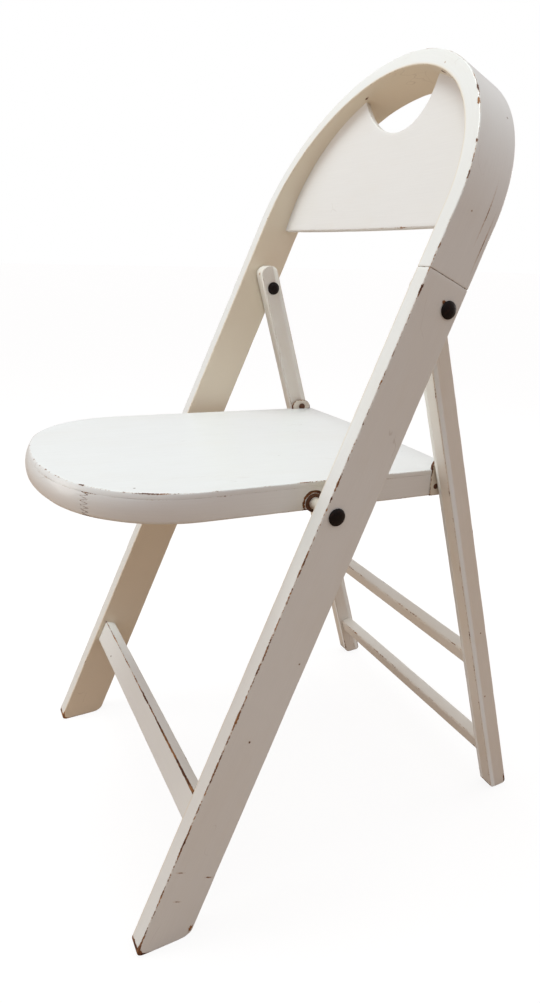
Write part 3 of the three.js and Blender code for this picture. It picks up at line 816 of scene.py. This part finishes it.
def ear(side, sign):
    thick, wide, tall = ear_high - ear_low

    def place(u, v, s):
        return np.column_stack([sign * (ear_high[0] - u), ear_low[1] + v, ear_low[2] + s])

    def wear(u, v, s):
        at_seat = near(s - (board_high[2] - ear_low[2]), 4 * MM)
        return EAR_WEAR + SEAT_LINE_WEAR * at_seat

    top = cut_end(wide, 0, EAR_RADIUS, EAR_RADIUS)
    return stick(f"seat_ear_plate_{side}", place, tall, (thick, wide), (EAR_CORNER,) * 4,
                 seat_bench, wear, stop=top, step=EAR_STEP, ease=EAR_EASE)


ears = {side: ear(side, sign) for side, sign in SIDES}

# %% [markdown]
# ## Rivets, washers, pins and screws
#
# Turned pieces are a profile spun round an axis. The profiles come from each node's own box, so
# only the roundings are chosen here. A rivet head is a little uneven from the hammer.

# %% Turned pieces
TURN_STEPS = 72
HAMMER = 0.12 * MM
HAMMER_MARKS = 260  # a metre
METAL_WEAR = 0.5
NEEDLE = 0.2 * MM  # the radius left at the middle of a closed end
EASE_SHARE = 0.4  # an eased corner never takes more than this share of a side


def turned(name, profile, centre, sign, hammered=0.0, ring=False):
    """profile is a list of (radius, x) from the inner end to the outer end, x measured outwards."""
    profile = np.array(profile, float)
    angles = np.arange(TURN_STEPS) / TURN_STEPS * 2 * math.pi
    grid = np.zeros((len(profile), TURN_STEPS, 3))
    grid[..., 0] = sign * profile[:, 1, None]
    grid[..., 1] = centre[1] + profile[:, 0, None] * np.cos(angles)
    grid[..., 2] = centre[2] + profile[:, 0, None] * np.sin(angles)
    if hammered:
        for point in grid.reshape(-1, 3):
            at = Vector(point) * HAMMER_MARKS
            point[0] -= sign * hammered * (0.5 + 0.5 * noise.noise(at))
    marks = {"stick": grid.copy(), "edge": np.repeat(measure(profile)[:, None] / MM, TURN_STEPS, 1),
             "wear": np.full(grid.shape[:2], METAL_WEAR)}
    return weave(name, grid, marks, Matrix.Identity(4), loop_path=ring)


def eased(profile, ease=0.25 * MM):
    """The same profile with each inner corner cut by a small flat on both sides."""
    points = [np.array(p, float) for p in profile]
    out = [points[0]]
    for before, here, after in zip(points, points[1:], points[2:]):
        for other in (before, after):
            gap = np.linalg.norm(other - here)
            out.append(here + (other - here) * min(ease / gap, EASE_SHARE))
    return out + [points[-1]]


def dome(radius, base, height, steps=8, rim=0.7 * MM):
    """A domed head: a short upright rim and a quarter oval over it."""
    turns = np.linspace(0, math.pi / 2, steps)[:-1]
    over = [(radius * math.cos(t), base + rim + (height - rim) * math.sin(t)) for t in turns]
    return [(radius - 0.3 * MM, base), *over, (NEEDLE, base + height)]


def node_sizes(cad_node, sign):
    """The inner end, outer end, radius and centre of a turned node."""
    low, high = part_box(cad_node)
    inner, outer = sorted((sign * low.x, sign * high.x))
    return inner, outer, (high.z - low.z) / 2, (low + high) / 2


SHANK = 4 * MM
HEAD_HEIGHT = 3.2 * MM
CLENCH_HEIGHT = 2.2 * MM
CLENCH_RADIUS = 6.5 * MM
HOLE = 4.3 * MM


hardware = []


def rivet(name, cad_node, centre, sign):
    """A domed head outside, a shank, and a smaller dome where the tail was clenched."""
    inner, outer, radius, _ = node_sizes(cad_node, sign)
    face = outer - HEAD_HEIGHT
    clench = inner + CLENCH_HEIGHT
    head = dome(radius, face, HEAD_HEIGHT)
    tail = [(r, clench + inner - x) for r, x in dome(CLENCH_RADIUS, inner, CLENCH_HEIGHT)][::-1]
    return turned(name, tail + [(SHANK, clench), (SHANK, face)] + head, centre, sign, HAMMER)


def washer(name, cad_node, centre, sign):
    inner, outer, radius, _ = node_sizes(cad_node, sign)
    corners = [(HOLE, inner), (radius, inner), (radius, outer), (HOLE, outer)]
    profile = eased([corners[-1], *corners, corners[0]])[1:-1]
    return turned(name, profile, centre, sign, ring=True)


for side, sign in SIDES:
    for kind, centre in (("leg_pivot", leg_pivot), ("seat_pivot", seat_pivot)):
        for part, make in (("rivet", rivet), ("washer", washer), ("burr", washer), ("spacer", washer)):
            cad_node = f"{kind}_{part}_{side}"
            if cad_node in frame["nodes"]:
                piece = make(f"{kind}_{part}_turned_{side}", cad_node, centre, sign)
                hardware.append((piece, cad_node))
print(len(hardware), "turned pieces at the pivots")

# %% Slide pins and ear screws
PIN_RADIUS = 3 * MM
PIN_HEAD = 1.6 * MM
SCREW_PROUD = 0.5 * MM
SCREW_SHANK = 1.6 * MM
SCREW_HEAD = 1.2 * MM
SCREW_RIM = 0.3 * MM

for side, sign in SIDES:
    cad_node = f"slide_pin_{side}"
    inner, outer, radius, centre = node_sizes(cad_node, sign)
    profile = [(NEEDLE, inner), (radius, inner), (radius, inner + PIN_HEAD),
               (PIN_RADIUS, inner + PIN_HEAD), (PIN_RADIUS, outer), (NEEDLE, outer)]
    pin = turned(f"slide_pin_turned_{side}", eased(profile, 0.5 * MM), centre, sign, HAMMER)
    hardware.append((pin, cad_node))
    for number in (1, 2):
        cad_node = f"ear_screw_{number}_{side}"
        inner, outer, radius, centre = node_sizes(cad_node, sign)
        shank = [(NEEDLE, inner), (SCREW_SHANK, inner + SCREW_SHANK),
                 (SCREW_SHANK, outer - SCREW_HEAD)]
        profile = shank + dome(radius, outer - SCREW_RIM, SCREW_PROUD + SCREW_RIM, 6, SCREW_RIM)
        screw = turned(f"ear_screw_turned_{number}_{side}", profile, centre, sign)
        hardware.append((screw, cad_node))
print(len(hardware), "turned pieces in all")

# %% [markdown]
# ## Paint, wear and bare wood
#
# The finish is built from small effects, each a node group made once: where the edge has worn
# through, how brush marks and yellowing vary, where specks and hairline scratches lie, and what
# beech looks like under the paint. Every group reads the coordinates that a stick was given on
# the bench, so patterns follow the wood round the bend. The groups give masks, colours and
# heights, and each material feeds them to its own shader.

# %% Helpers for node trees


def node(tree, kind, inputs=None, **settings):
    """Add a node. An input is either a value or the socket that feeds it."""
    made = tree.nodes.new(kind)
    for key, value in settings.items():
        setattr(made, key, value)
    for key, value in (inputs or {}).items():
        if isinstance(value, bpy.types.NodeSocket):
            tree.links.new(value, made.inputs[key])
        else:
            made.inputs[key].default_value = value
    return made


def calc(tree, operation, first, second=0.0, third=0.0, clamp=False):
    return node(tree, "ShaderNodeMath", {0: first, 1: second, 2: third}, operation=operation,
                use_clamp=clamp).outputs[0]


def times(tree, first, second):
    return calc(tree, "MULTIPLY", first, second)


def weigh(tree, start, *parts, clamp=False):
    """Start plus each value times its weight, clamped at the very end or not at all."""
    for value, weight in parts[:-1]:
        start = calc(tree, "MULTIPLY_ADD", value, weight, start)
    return calc(tree, "MULTIPLY_ADD", *parts[-1], start, clamp)


def soft_step(tree, value, low, high, to_low=0.0, to_high=1.0):
    inputs = {"Value": value, "From Min": low, "From Max": high, "To Min": to_low, "To Max": to_high}
    return node(tree, "ShaderNodeMapRange", inputs, interpolation_type="SMOOTHSTEP").outputs[0]


def mix_colour(tree, share, first, second, blend_type="MIX"):
    return node(tree, "ShaderNodeMix", {0: share, 6: first, 7: second}, data_type="RGBA",
                blend_type=blend_type).outputs[2]


def vector(tree, operation, first, second):
    return node(tree, "ShaderNodeVectorMath", {0: first, 1: second}, operation=operation).outputs[0]


def cloud(tree, at, scale, detail=3.0, rough=0.55):
    """Noise of that scale on each axis, a tuple, in features per metre."""
    stretched = vector(tree, "MULTIPLY", at, scale)
    inputs = {"Vector": stretched, "Scale": 1.0, "Detail": detail, "Roughness": rough}
    return node(tree, "ShaderNodeTexNoise", inputs).outputs["Fac"]


SOCKETS = {"vector": "NodeSocketVector", "float": "NodeSocketFloat", "colour": "NodeSocketColor"}


def new_group(name, inputs, outputs):
    group = bpy.data.node_groups.new(name, "ShaderNodeTree")
    for label, kind, default in inputs:
        socket = group.interface.new_socket(label, in_out="INPUT", socket_type=SOCKETS[kind])
        if default is not None:
            socket.default_value = default
    for label, kind in outputs:
        group.interface.new_socket(label, in_out="OUTPUT", socket_type=SOCKETS[kind])
    return group, node(group, "NodeGroupInput").outputs, node(group, "NodeGroupOutput").inputs


def place_group(tree, group, inputs):
    return node(tree, "ShaderNodeGroup", inputs, node_tree=group).outputs


def read(tree, name):
    return node(tree, "ShaderNodeAttribute", attribute_name=name).outputs


def new_material(name):
    material = bpy.data.materials.new(name)
    material.use_nodes = True
    return material, material.node_tree, material.node_tree.nodes["Principled BSDF"]


def set_bump(tree, shader, height, strength, distance):
    inputs = {"Height": height, "Strength": strength, "Distance": distance}
    tree.links.new(node(tree, "ShaderNodeBump", inputs).outputs[0], shader.inputs["Normal"])


print("kinds of socket a group can have:", sorted(SOCKETS))

# %% [markdown]
# ### Edge wear
#
# Paint goes first where two faces meet. The distance to the nearest edge is compared with a ragged
# limit, made from one noise with long stretches and one as fine as a single chip. Where the edge
# is nearer than the limit, the wood shows. Just outside lies a thin rim of stained, lifting paint.

# %% Edge wear group


def edge_wear_group():
    group, given, out = new_group(
        "edge_wear",
        [("Stick", "vector", None), ("Edge", "float", 0.0), ("Wear", "float", 0.4),
         ("Reach", "float", 4.0), ("Chips", "float", -9.0)],
        [("Bare", "float"), ("Rim", "float")])
    stretches = cloud(group, given["Stick"], (160, 160, 38), 4)
    chips = cloud(group, given["Stick"], (620, 620, 420), 3, 0.6)
    over = weigh(group, -1.65, (stretches, 1.35), (chips, 0.95), (given["Wear"], 1))
    limit = times(group, over, given["Reach"])
    spare = calc(group, "MAXIMUM", weigh(group, limit, (given["Edge"], -1)), given["Chips"])
    bare = soft_step(group, spare, -0.04, 0.12)
    rim = calc(group, "SUBTRACT", soft_step(group, spare, -0.9, 0.05), bare, clamp=True)
    group.links.new(bare, out["Bare"])
    group.links.new(rim, out["Rim"])
    return group


edge_wear = edge_wear_group()
print("edge_wear:", len(edge_wear.nodes), "nodes")

# %% [markdown]
# ### Chips in chosen places
#
# Some chips are known by their place: one on the hoop's front edge, one beside a rivet, nicks on
# the leg. Each is a blob round a point on its stick, with its outline made ragged by noise and
# stretched one way where it is a scratch. The group gives how deep a point lies inside a chip, and
# edge wear takes the deeper of the two.

# %% Chips group
CHIP_SHAPE = 3.0  # how ragged, as a share of the chip's size
NO_CHIP = -9.0


def chips_group(name, places):
    """places holds (number of the stick, point, size, stretch), lengths in mm."""
    group, given, out = new_group(name, [("Stick", "vector", None)], [("Chips", "float")])
    ragged = calc(group, "SUBTRACT", cloud(group, given["Stick"], (420, 420, 420), 3, 0.7), 0.5)
    deepest = NO_CHIP
    for number, point, size, stretch in places:
        centre = Vector(point) * MM + Vector((number * NEXT_WOOD, 0, 0))
        away = vector(group, "SUBTRACT", given["Stick"], centre)
        away = vector(group, "MULTIPLY", away, [1 / (MM * k) for k in stretch])
        away = node(group, "ShaderNodeVectorMath", {0: away}, operation="LENGTH")
        inside = weigh(group, size, (ragged, size * CHIP_SHAPE), (away.outputs["Value"], -1))
        deepest = calc(group, "MAXIMUM", inside, deepest)
    group.links.new(deepest, out["Chips"])
    return group


BEND, LEFT_LEG, REAR_LEFT = 1, 2, 4  # sticks are numbered in the order they were made
ROUND, ALONG, ACROSS, LONG = (1, 1, 1), (1, 1, 2.5), (1, 4, 0.8), (1, 1, 30)
hoop_chips = chips_group("hoop_chips", [
    (BEND, (1.5, 0, 1231), 1.5, ALONG), (BEND, (1, 0, 1275), 0.8, ALONG),
    (BEND, (0, 0, 1305), 0.9, ALONG), (BEND, (12, 0, 1134), 0.7, ROUND),
    (BEND, (19, 8, 1128), 2.0, ALONG), (BEND, (19, 12, 969), 1.0, ALONG),
    (BEND, (0, 40, 1224), 0.7, ROUND), (BEND, (0, 18, 1332), 0.6, ROUND),
    (BEND, (0, 36, 1326), 0.35, LONG), (BEND, (0, 45, 1352), 0.35, LONG),
    (LEFT_LEG, (0, 0, 676), 1.5, ALONG), (LEFT_LEG, (0, 30, 675), 2.0, ROUND),
    (LEFT_LEG, (0, 24, 229), 0.9, ROUND), (LEFT_LEG, (0, 42, 313), 0.7, ROUND),
    (LEFT_LEG, (0, 10, 91), 0.6, ACROSS), (LEFT_LEG, (0, 43, 86), 0.7, ACROSS),
    (LEFT_LEG, (0, 47, 30), 1.4, ALONG), (LEFT_LEG, (0, 20, 60), 0.5, ACROSS),
])
leg_chips = chips_group("leg_chips", [
    (REAR_LEFT, (19, 24, 8), 3.2, ALONG), (REAR_LEFT, (17, 2, 30), 1.2, ALONG),
    (REAR_LEFT, (19, 10, 150), 0.7, ROUND), (REAR_LEFT, (19, 16, 240), 0.6, ROUND),
])
print("nodes in the chips groups:", len(hoop_chips.nodes), "and", len(leg_chips.nodes))

# %% [markdown]
# ### The paint film
#
# Old oil paint is laid with a brush along the stick, so its marks are long and very fine. It has
# yellowed in patches and dulled where hands have been. The group gives a tint, a roughness and a
# height, and takes the paint's own colour as an input.

# %% Paint film group


def paint_film_group():
    group, given, out = new_group(
        "paint_film",
        [("Stick", "vector", None), ("Paint", "colour", (0.8, 0.8, 0.75, 1)),
         ("Aged", "colour", (0.7, 0.66, 0.55, 1)), ("Ageing", "float", 0.3)],
        [("Colour", "colour"), ("Roughness", "float"), ("Height", "float")])
    patches = cloud(group, given["Stick"], (14, 14, 6), 3)
    smudges = cloud(group, given["Stick"], (60, 60, 25), 4)
    marked = weigh(group, 0.0, (soft_step(group, patches, 0.4, 0.75), 1),
                   (soft_step(group, smudges, 0.52, 0.8), 0.5))
    age = calc(group, "MULTIPLY", marked, given["Ageing"], clamp=True)
    aged = mix_colour(group, age, given["Paint"], given["Aged"])
    strokes = cloud(group, given["Stick"], (850, 850, 16), 2)
    streaks = soft_step(group, strokes, 0.3, 0.8, 0.985, 1.01)
    grey = node(group, "ShaderNodeCombineColor", {"Red": streaks, "Green": streaks, "Blue": streaks})
    tinted = mix_colour(group, 1.0, aged, grey.outputs[0], "MULTIPLY")
    group.links.new(tinted, out["Colour"])
    group.links.new(weigh(group, 0.26, (smudges, 0.22)), out["Roughness"])
    orange_peel = cloud(group, given["Stick"], (330, 330, 260), 2)
    group.links.new(weigh(group, 0.0, (strokes, 0.3), (orange_peel, 0.5)), out["Height"])
    return group


paint_film = paint_film_group()
print("paint_film:", len(paint_film.nodes), "nodes")

# %% [markdown]
# ### Specks and scratches
#
# A few dark nicks and hairlines keep a large white face from looking like plastic. Cells of a
# Voronoi texture place the nicks: most cells stay empty, and a random value picks the few that
# hold one. Hairlines are the borders of very long, bent cells, kept only in a few patches.

# %% Specks group


def specks_group():
    group, given, out = new_group(
        "specks_and_scratches", [("Stick", "vector", None), ("Amount", "float", 0.5)],
        [("Speck", "float"), ("Scratch", "float")])
    jitter = cloud(group, given["Stick"], (500, 500, 500), 2)
    cells = vector(group, "MULTIPLY", given["Stick"], (46, 46, 34))
    dots = node(group, "ShaderNodeTexVoronoi", {"Vector": cells, "Scale": 1.0})
    picked = node(group, "ShaderNodeSeparateColor", {0: dots.outputs["Color"]})
    limit = weigh(group, 1.0, (given["Amount"], -0.12))
    keep = calc(group, "GREATER_THAN", picked.outputs[0], limit)
    within = weigh(group, -0.05, (picked.outputs[1], 0.06), (jitter, 0.10),
                   (dots.outputs["Distance"], -1))
    speck = times(group, soft_step(group, within, -0.005, 0.015), keep)
    group.links.new(speck, out["Speck"])
    bent = vector(group, "MULTIPLY", given["Stick"], (30, 22, 9))
    wobble = node(group, "ShaderNodeTexNoise", {"Vector": bent, "Scale": 1.6, "Detail": 2.0})
    bent = vector(group, "ADD", bent, wobble.outputs["Color"])
    lines = node(group, "ShaderNodeTexVoronoi", {"Vector": bent, "Scale": 1.0},
                 feature="DISTANCE_TO_EDGE")
    hair = soft_step(group, lines.outputs["Distance"], 0.0, 0.012, 1.0, 0.0)
    patch = soft_step(group, cloud(group, given["Stick"], (19, 19, 15), 3), 0.60, 0.68)
    hair = times(group, times(group, hair, patch), given["Amount"])
    group.links.new(hair, out["Scratch"])
    return group


specks = specks_group()
print("specks_and_scratches:", len(specks.nodes), "nodes")

# %% [markdown]
# ### Beech under the paint
#
# Years of handling have turned the bare wood from pale ochre to a greasy reddish brown. Fine
# fibres run along the stick.

# %% Bare wood group


OLD_WOOD = (0.095, 0.034, 0.016, 1)
FRESH_WOOD = (0.40, 0.19, 0.07, 1)


def bare_wood_group():
    group, given, out = new_group(
        "bare_beech", [("Stick", "vector", None), ("Worn", "float", 0.5)],
        [("Colour", "colour"), ("Height", "float")])
    fibre = cloud(group, given["Stick"], (1100, 1100, 40), 3)
    stain = cloud(group, given["Stick"], (90, 90, 45), 3)
    stained = soft_step(group, stain, 0.35, 0.65)
    tone = weigh(group, stained, (fibre, 0.3), (given["Worn"], -1), clamp=True)
    group.links.new(mix_colour(group, tone, OLD_WOOD, FRESH_WOOD), out["Colour"])
    group.links.new(fibre, out["Height"])
    return group


bare_wood = bare_wood_group()
print("groups:", [g.name for g in bpy.data.node_groups])

# %% [markdown]
# ### Painted wood
#
# The material lays the effects over each other: paint, then specks and hairlines in it, then the
# stained rim, then wood wherever the edge has worn through. The film of paint stands a tenth of a
# millimetre above the wood, so the same mask also drives the bump. A thin clear coat is the
# paint's own gloss, and the bare wood has none.

# %% Painted wood materials


WHITE = (0.80, 0.84, 0.83, 1)
SEAT_WHITE = (0.80, 0.84, 0.84, 1)
PANEL_WHITE = (0.78, 0.80, 0.79, 1)
LEG_WHITE = (0.79, 0.79, 0.74, 1)
STEEL_WHITE = (0.74, 0.71, 0.63, 1)
YELLOWED = (0.68, 0.60, 0.46, 1)
# the darker tan of the painted shade on the hoop's inner face
INNER_SHADE_TAN = (0.78, 0.71, 0.57, 1)
HAIRLINE = (0.24, 0.17, 0.11, 1)
STAINED_RIM = (0.42, 0.27, 0.14, 1)
NICK = (0.10, 0.055, 0.03, 1)
FILM_BUMP, LOST_BUMP, HAIR_BUMP, GRAIN_BUMP = 0.035, 0.14, 0.05, 0.08


def painted(name, paint, ageing, reach, speckle, base, chips=None):
    """Reach is how far wear goes in from an edge, and base how brown the bare wood is."""
    material, tree, shader = new_material(name)
    stick_at = read(tree, "stick")["Vector"]
    edge = read(tree, "edge")["Fac"]
    wear = read(tree, "wear")["Fac"]
    worn_inputs = {"Stick": stick_at, "Edge": edge, "Wear": wear, "Reach": reach}
    if chips:
        worn_inputs["Chips"] = place_group(tree, chips, {"Stick": stick_at})["Chips"]
    worn = place_group(tree, edge_wear, worn_inputs)
    film = place_group(tree, paint_film, {"Stick": stick_at, "Paint": paint, "Aged": YELLOWED,
                                          "Ageing": ageing})
    marks = place_group(tree, specks, {"Stick": stick_at, "Amount": speckle})
    below = place_group(tree, bare_wood, {"Stick": stick_at, "Worn": base})
    # painted shade: the hoop's inner face is mixed towards a darker tan
    film_colour = mix_colour(tree, read(tree, "yellow")["Fac"], film["Colour"], INNER_SHADE_TAN)
    hair = times(tree, marks["Scratch"], 0.45)
    colour = mix_colour(tree, hair, film_colour, HAIRLINE)
    colour = mix_colour(tree, times(tree, worn["Rim"], 0.38), colour, STAINED_RIM)
    colour = mix_colour(tree, times(tree, marks["Speck"], 0.8), colour, NICK)
    colour = mix_colour(tree, worn["Bare"], colour, below["Colour"])
    tree.links.new(colour, shader.inputs["Base Color"])
    rough = node(tree, "ShaderNodeMix", {0: worn["Bare"], 2: film["Roughness"], 3: 0.8},
                 data_type="FLOAT").outputs[0]
    tree.links.new(rough, shader.inputs["Roughness"])
    gloss = soft_step(tree, worn["Bare"], 0.0, 1.0, 0.25, 0.0)
    tree.links.new(gloss, shader.inputs["Coat Weight"])
    shader.inputs["Coat Roughness"].default_value = 0.22
    shader.inputs["Specular IOR Level"].default_value = 0.4
    lost = calc(tree, "ADD", worn["Bare"], marks["Speck"], clamp=True)
    grain = times(tree, below["Height"], worn["Bare"])
    height = weigh(tree, 0.0, (film["Height"], FILM_BUMP), (lost, -LOST_BUMP), (hair, -HAIR_BUMP),
                   (grain, GRAIN_BUMP))
    set_bump(tree, shader, height, 0.7, 1.0 * MM)
    return material


finishes = {
    "hoop_paint": painted("hoop_white_paint", WHITE, 0.12, 2.6, 0.5, 0.30, hoop_chips),
    "panel_paint": painted("panel_white_paint", PANEL_WHITE, 0.08, 3.0, 0.35, 0.35),
    "leg_paint": painted("leg_cream_paint", LEG_WHITE, 0.3, 3.2, 0.6, 0.35, leg_chips),
    "seat_paint": painted("seat_white_paint", SEAT_WHITE, 0.08, 3.2, 0.5, 0.6),
    "painted_steel": painted("painted_steel", STEEL_WHITE, 0.35, 3.0, 0.8, 0.55),
}
print(sorted(finishes))

# %% [markdown]
# ### Steel
#
# The rivets are blackened and greasy, and catch a small highlight. The bare fittings have lost most
# of their finish to brown rust. What was painted along with the chair uses the paint above, more
# yellowed and more speckled.

# %% Steel materials


BLACKED = (0.006, 0.004, 0.004, 1)
BLACKED_RUST = (0.024, 0.010, 0.007, 1)
BROWNED = (0.10, 0.085, 0.07, 1)
RUST = (0.11, 0.042, 0.018, 1)


def steel(name, dark, rust, metal, rough, rusting, specular=0.5):
    material, tree, shader = new_material(name)
    shader.inputs["Specular IOR Level"].default_value = specular
    at = read(tree, "stick")["Vector"]
    blotch = cloud(tree, at, (420, 420, 420), 4)
    grit = cloud(tree, at, (1600, 1600, 1600), 3)
    limit = 0.86 - rusting * 0.4
    rusty = soft_step(tree, weigh(tree, blotch, (grit, 0.35)), limit, limit + 0.1)
    tree.links.new(mix_colour(tree, rusty, dark, rust), shader.inputs["Base Color"])
    tree.links.new(soft_step(tree, rusty, 0, 1, metal, 0.0), shader.inputs["Metallic"])
    dull = weigh(tree, rusty, (grit, 0.3))
    tree.links.new(soft_step(tree, dull, 0.0, 1.2, rough, 0.85), shader.inputs["Roughness"])
    height = weigh(tree, 0.0, (grit, 0.10), (blotch, 0.15))
    set_bump(tree, shader, height, 0.6, 0.5 * MM)
    return material


finishes["dark_rivet"] = steel("black_rivet_steel", BLACKED, BLACKED_RUST, 0.2, 0.36, 0.35, 0.25)
finishes["worn_steel"] = steel("rusty_steel", BROWNED, RUST, 0.8, 0.45, 0.8)
print(sorted(finishes))

# %% [markdown]
# ## Hand every piece to the chair
#
# Each new piece stands for the node it was made from, rides on that node's body, so that it folds
# with it, and takes its finish from that node's slot in the record.

# %% Ride, replace and paint
slot_of = {row["node"]: row["material_slot"] for row in frame["record"]["subparts"]}
body_of = {name: body for body, names in frame["record"]["behaviour"]["bodies"].items()
           for name in names}
woodwork = [
    (bend, "hoop_bend"), (left_leg, "hoop_leg_left"), (panel, "back_panel"), (front_rail, "front_rail"),
    (rim_left, "seat_rim_left"), (rim_long, "seat_rim"), (board, "seat_board"),
    (back_rail, "seat_back_rail"),
    *((piece, f"rear_leg_{side}") for side, piece in rear_legs.items()),
    *((piece, f"rear_rail_{level}") for level, piece in rear_rails.items()),
    *((piece, f"seat_ear_{side}") for side, piece in ears.items()),
]
for piece, cad_node in woodwork + hardware:
    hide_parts(cad_node)
    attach(piece, body_of[cad_node])
    piece.data.materials.append(finishes[slot_of[cad_node]])
print(len(woodwork) + len(hardware), "pieces stand for", len(frame["nodes"]), "nodes")

# %% [markdown]
# ## Floor, light and camera
#
# A pale floor runs out of sight. A wide soft box hangs above, a little in front, so the top of the
# hoop is brighter than its feet. A weaker, warmer light stands low in front, and a weaker one still
# behind, which lifts the tops of the rails and the backs of the legs. The air around is dim and
# warm below and brighter overhead, which leaves the chair's sides in a warm shade. The floor glows
# for the camera alone, which keeps its shadows faint.

# %% Floor
FLOOR_SIZE = 60.0
FLOOR_LIT = (0.42, 0.31, 0.22, 1)  # the warm floor that the chair is lit by
FLOOR_SEEN = (0.15, 0.15, 0.15, 1)
FLOOR_GLOW = (0.88, 0.88, 0.88, 1)
BLACK = (0, 0, 0, 1)
floor_mesh = bpy.data.meshes.new("pale_floor")
half = FLOOR_SIZE / 2
floor_mesh.from_pydata([(-half, -half, 0), (half, -half, 0), (half, half, 0), (-half, half, 0)],
                       [], [(0, 1, 2, 3)])
floor = add_object("pale_floor", floor_mesh)
floor_material, floor_tree, floor_shader = new_material("pale_floor")
seen = node(floor_tree, "ShaderNodeLightPath").outputs["Is Camera Ray"]
tint = mix_colour(floor_tree, seen, FLOOR_LIT, FLOOR_SEEN)
floor_tree.links.new(tint, floor_shader.inputs["Base Color"])
glow = mix_colour(floor_tree, seen, BLACK, FLOOR_GLOW)
floor_tree.links.new(glow, floor_shader.inputs["Emission Color"])
floor_shader.inputs["Emission Strength"].default_value = 1.0
floor_shader.inputs["Roughness"].default_value = 0.9
floor_shader.inputs["Specular IOR Level"].default_value = 0.1
floor_mesh.materials.append(floor_material)
print("floor", FLOOR_SIZE, "m wide")

# %% Light
AIR_LOW = (0.47, 0.375, 0.365, 1)
AIR_HIGH = (0.72, 0.70, 0.70, 1)
AIR_SEEN = (1.0, 1.0, 1.0, 1)
world = bpy.data.worlds.new("studio_air")
bpy.context.scene.world = world
world.use_nodes = True
air = world.node_tree
background = air.nodes["Background"]
rays = node(air, "ShaderNodeLightPath")
ways = node(air, "ShaderNodeSeparateXYZ", {0: node(air, "ShaderNodeTexCoord").outputs["Generated"]})
height = soft_step(air, ways.outputs["Z"], 0.1, 0.9)
tone = mix_colour(air, height, AIR_LOW, AIR_HIGH)
tone = mix_colour(air, rays.outputs["Is Camera Ray"], tone, AIR_SEEN)
air.links.new(tone, background.inputs["Color"])


def soft_light(name, at, target, size, watts, colour):
    light = bpy.data.lights.new(name, "AREA")
    light.shape = "DISK"
    light.size = size
    light.energy = watts
    light.color = colour
    lamp = add_object(name, light)
    lamp.location = at
    lamp.rotation_mode = "QUATERNION"
    lamp.rotation_quaternion = (Vector(at) - Vector(target)).to_track_quat("Z", "Y")
    print(f"{name}: {watts} W")


soft_light("soft_box_above", (-0.3, -0.35, 2.3), (0, 0, 0.6), 1.0, 20.0, (0.93, 1.0, 1.0))
soft_light("window_in_front", (-0.9, -2.4, 0.75), (0, 0, 0.4), 1.4, 14.5, (1.0, 0.95, 0.90))
soft_light("low_light_behind", (0.1, 2.0, 0.8), (0, 0, 0.15), 1.2, 9.0, (1.0, 0.97, 0.92))

# %% Camera
CAMERA_AT = Vector((0.7039, -0.3434, 0.6424))
CAMERA_AZIMUTH = math.radians(62.535)
CAMERA_DOWN = math.radians(14.958)
CAMERA_ROLL = math.radians(1.635)
LENS = 24.93
SHIFT = (-0.0127, -0.0613)
SENSOR = 36
ahead = Vector((-math.sin(CAMERA_AZIMUTH) * math.cos(CAMERA_DOWN),
                math.cos(CAMERA_AZIMUTH) * math.cos(CAMERA_DOWN), -math.sin(CAMERA_DOWN)))
level_right = Vector((math.cos(CAMERA_AZIMUTH), math.sin(CAMERA_AZIMUTH), 0))
level_up = level_right.cross(ahead)
camera_right = level_right * math.cos(CAMERA_ROLL) + level_up * math.sin(CAMERA_ROLL)
camera_up = level_up * math.cos(CAMERA_ROLL) - level_right * math.sin(CAMERA_ROLL)
camera_data = bpy.data.cameras.new("camera")
camera_data.sensor_width = SENSOR
camera_data.lens = LENS
camera_data.shift_x, camera_data.shift_y = SHIFT
camera = add_object("camera", camera_data)
camera_axes = Matrix((camera_right, camera_up, -ahead)).transposed()
camera.matrix_world = Matrix.Translation(CAMERA_AT) @ camera_axes.to_4x4()
bpy.context.scene.camera = camera
bpy.context.scene.view_settings.view_transform = "Standard"
print("camera", round(CAMERA_AT.length, 2), "m from the middle of the floor, lens", LENS, "mm")
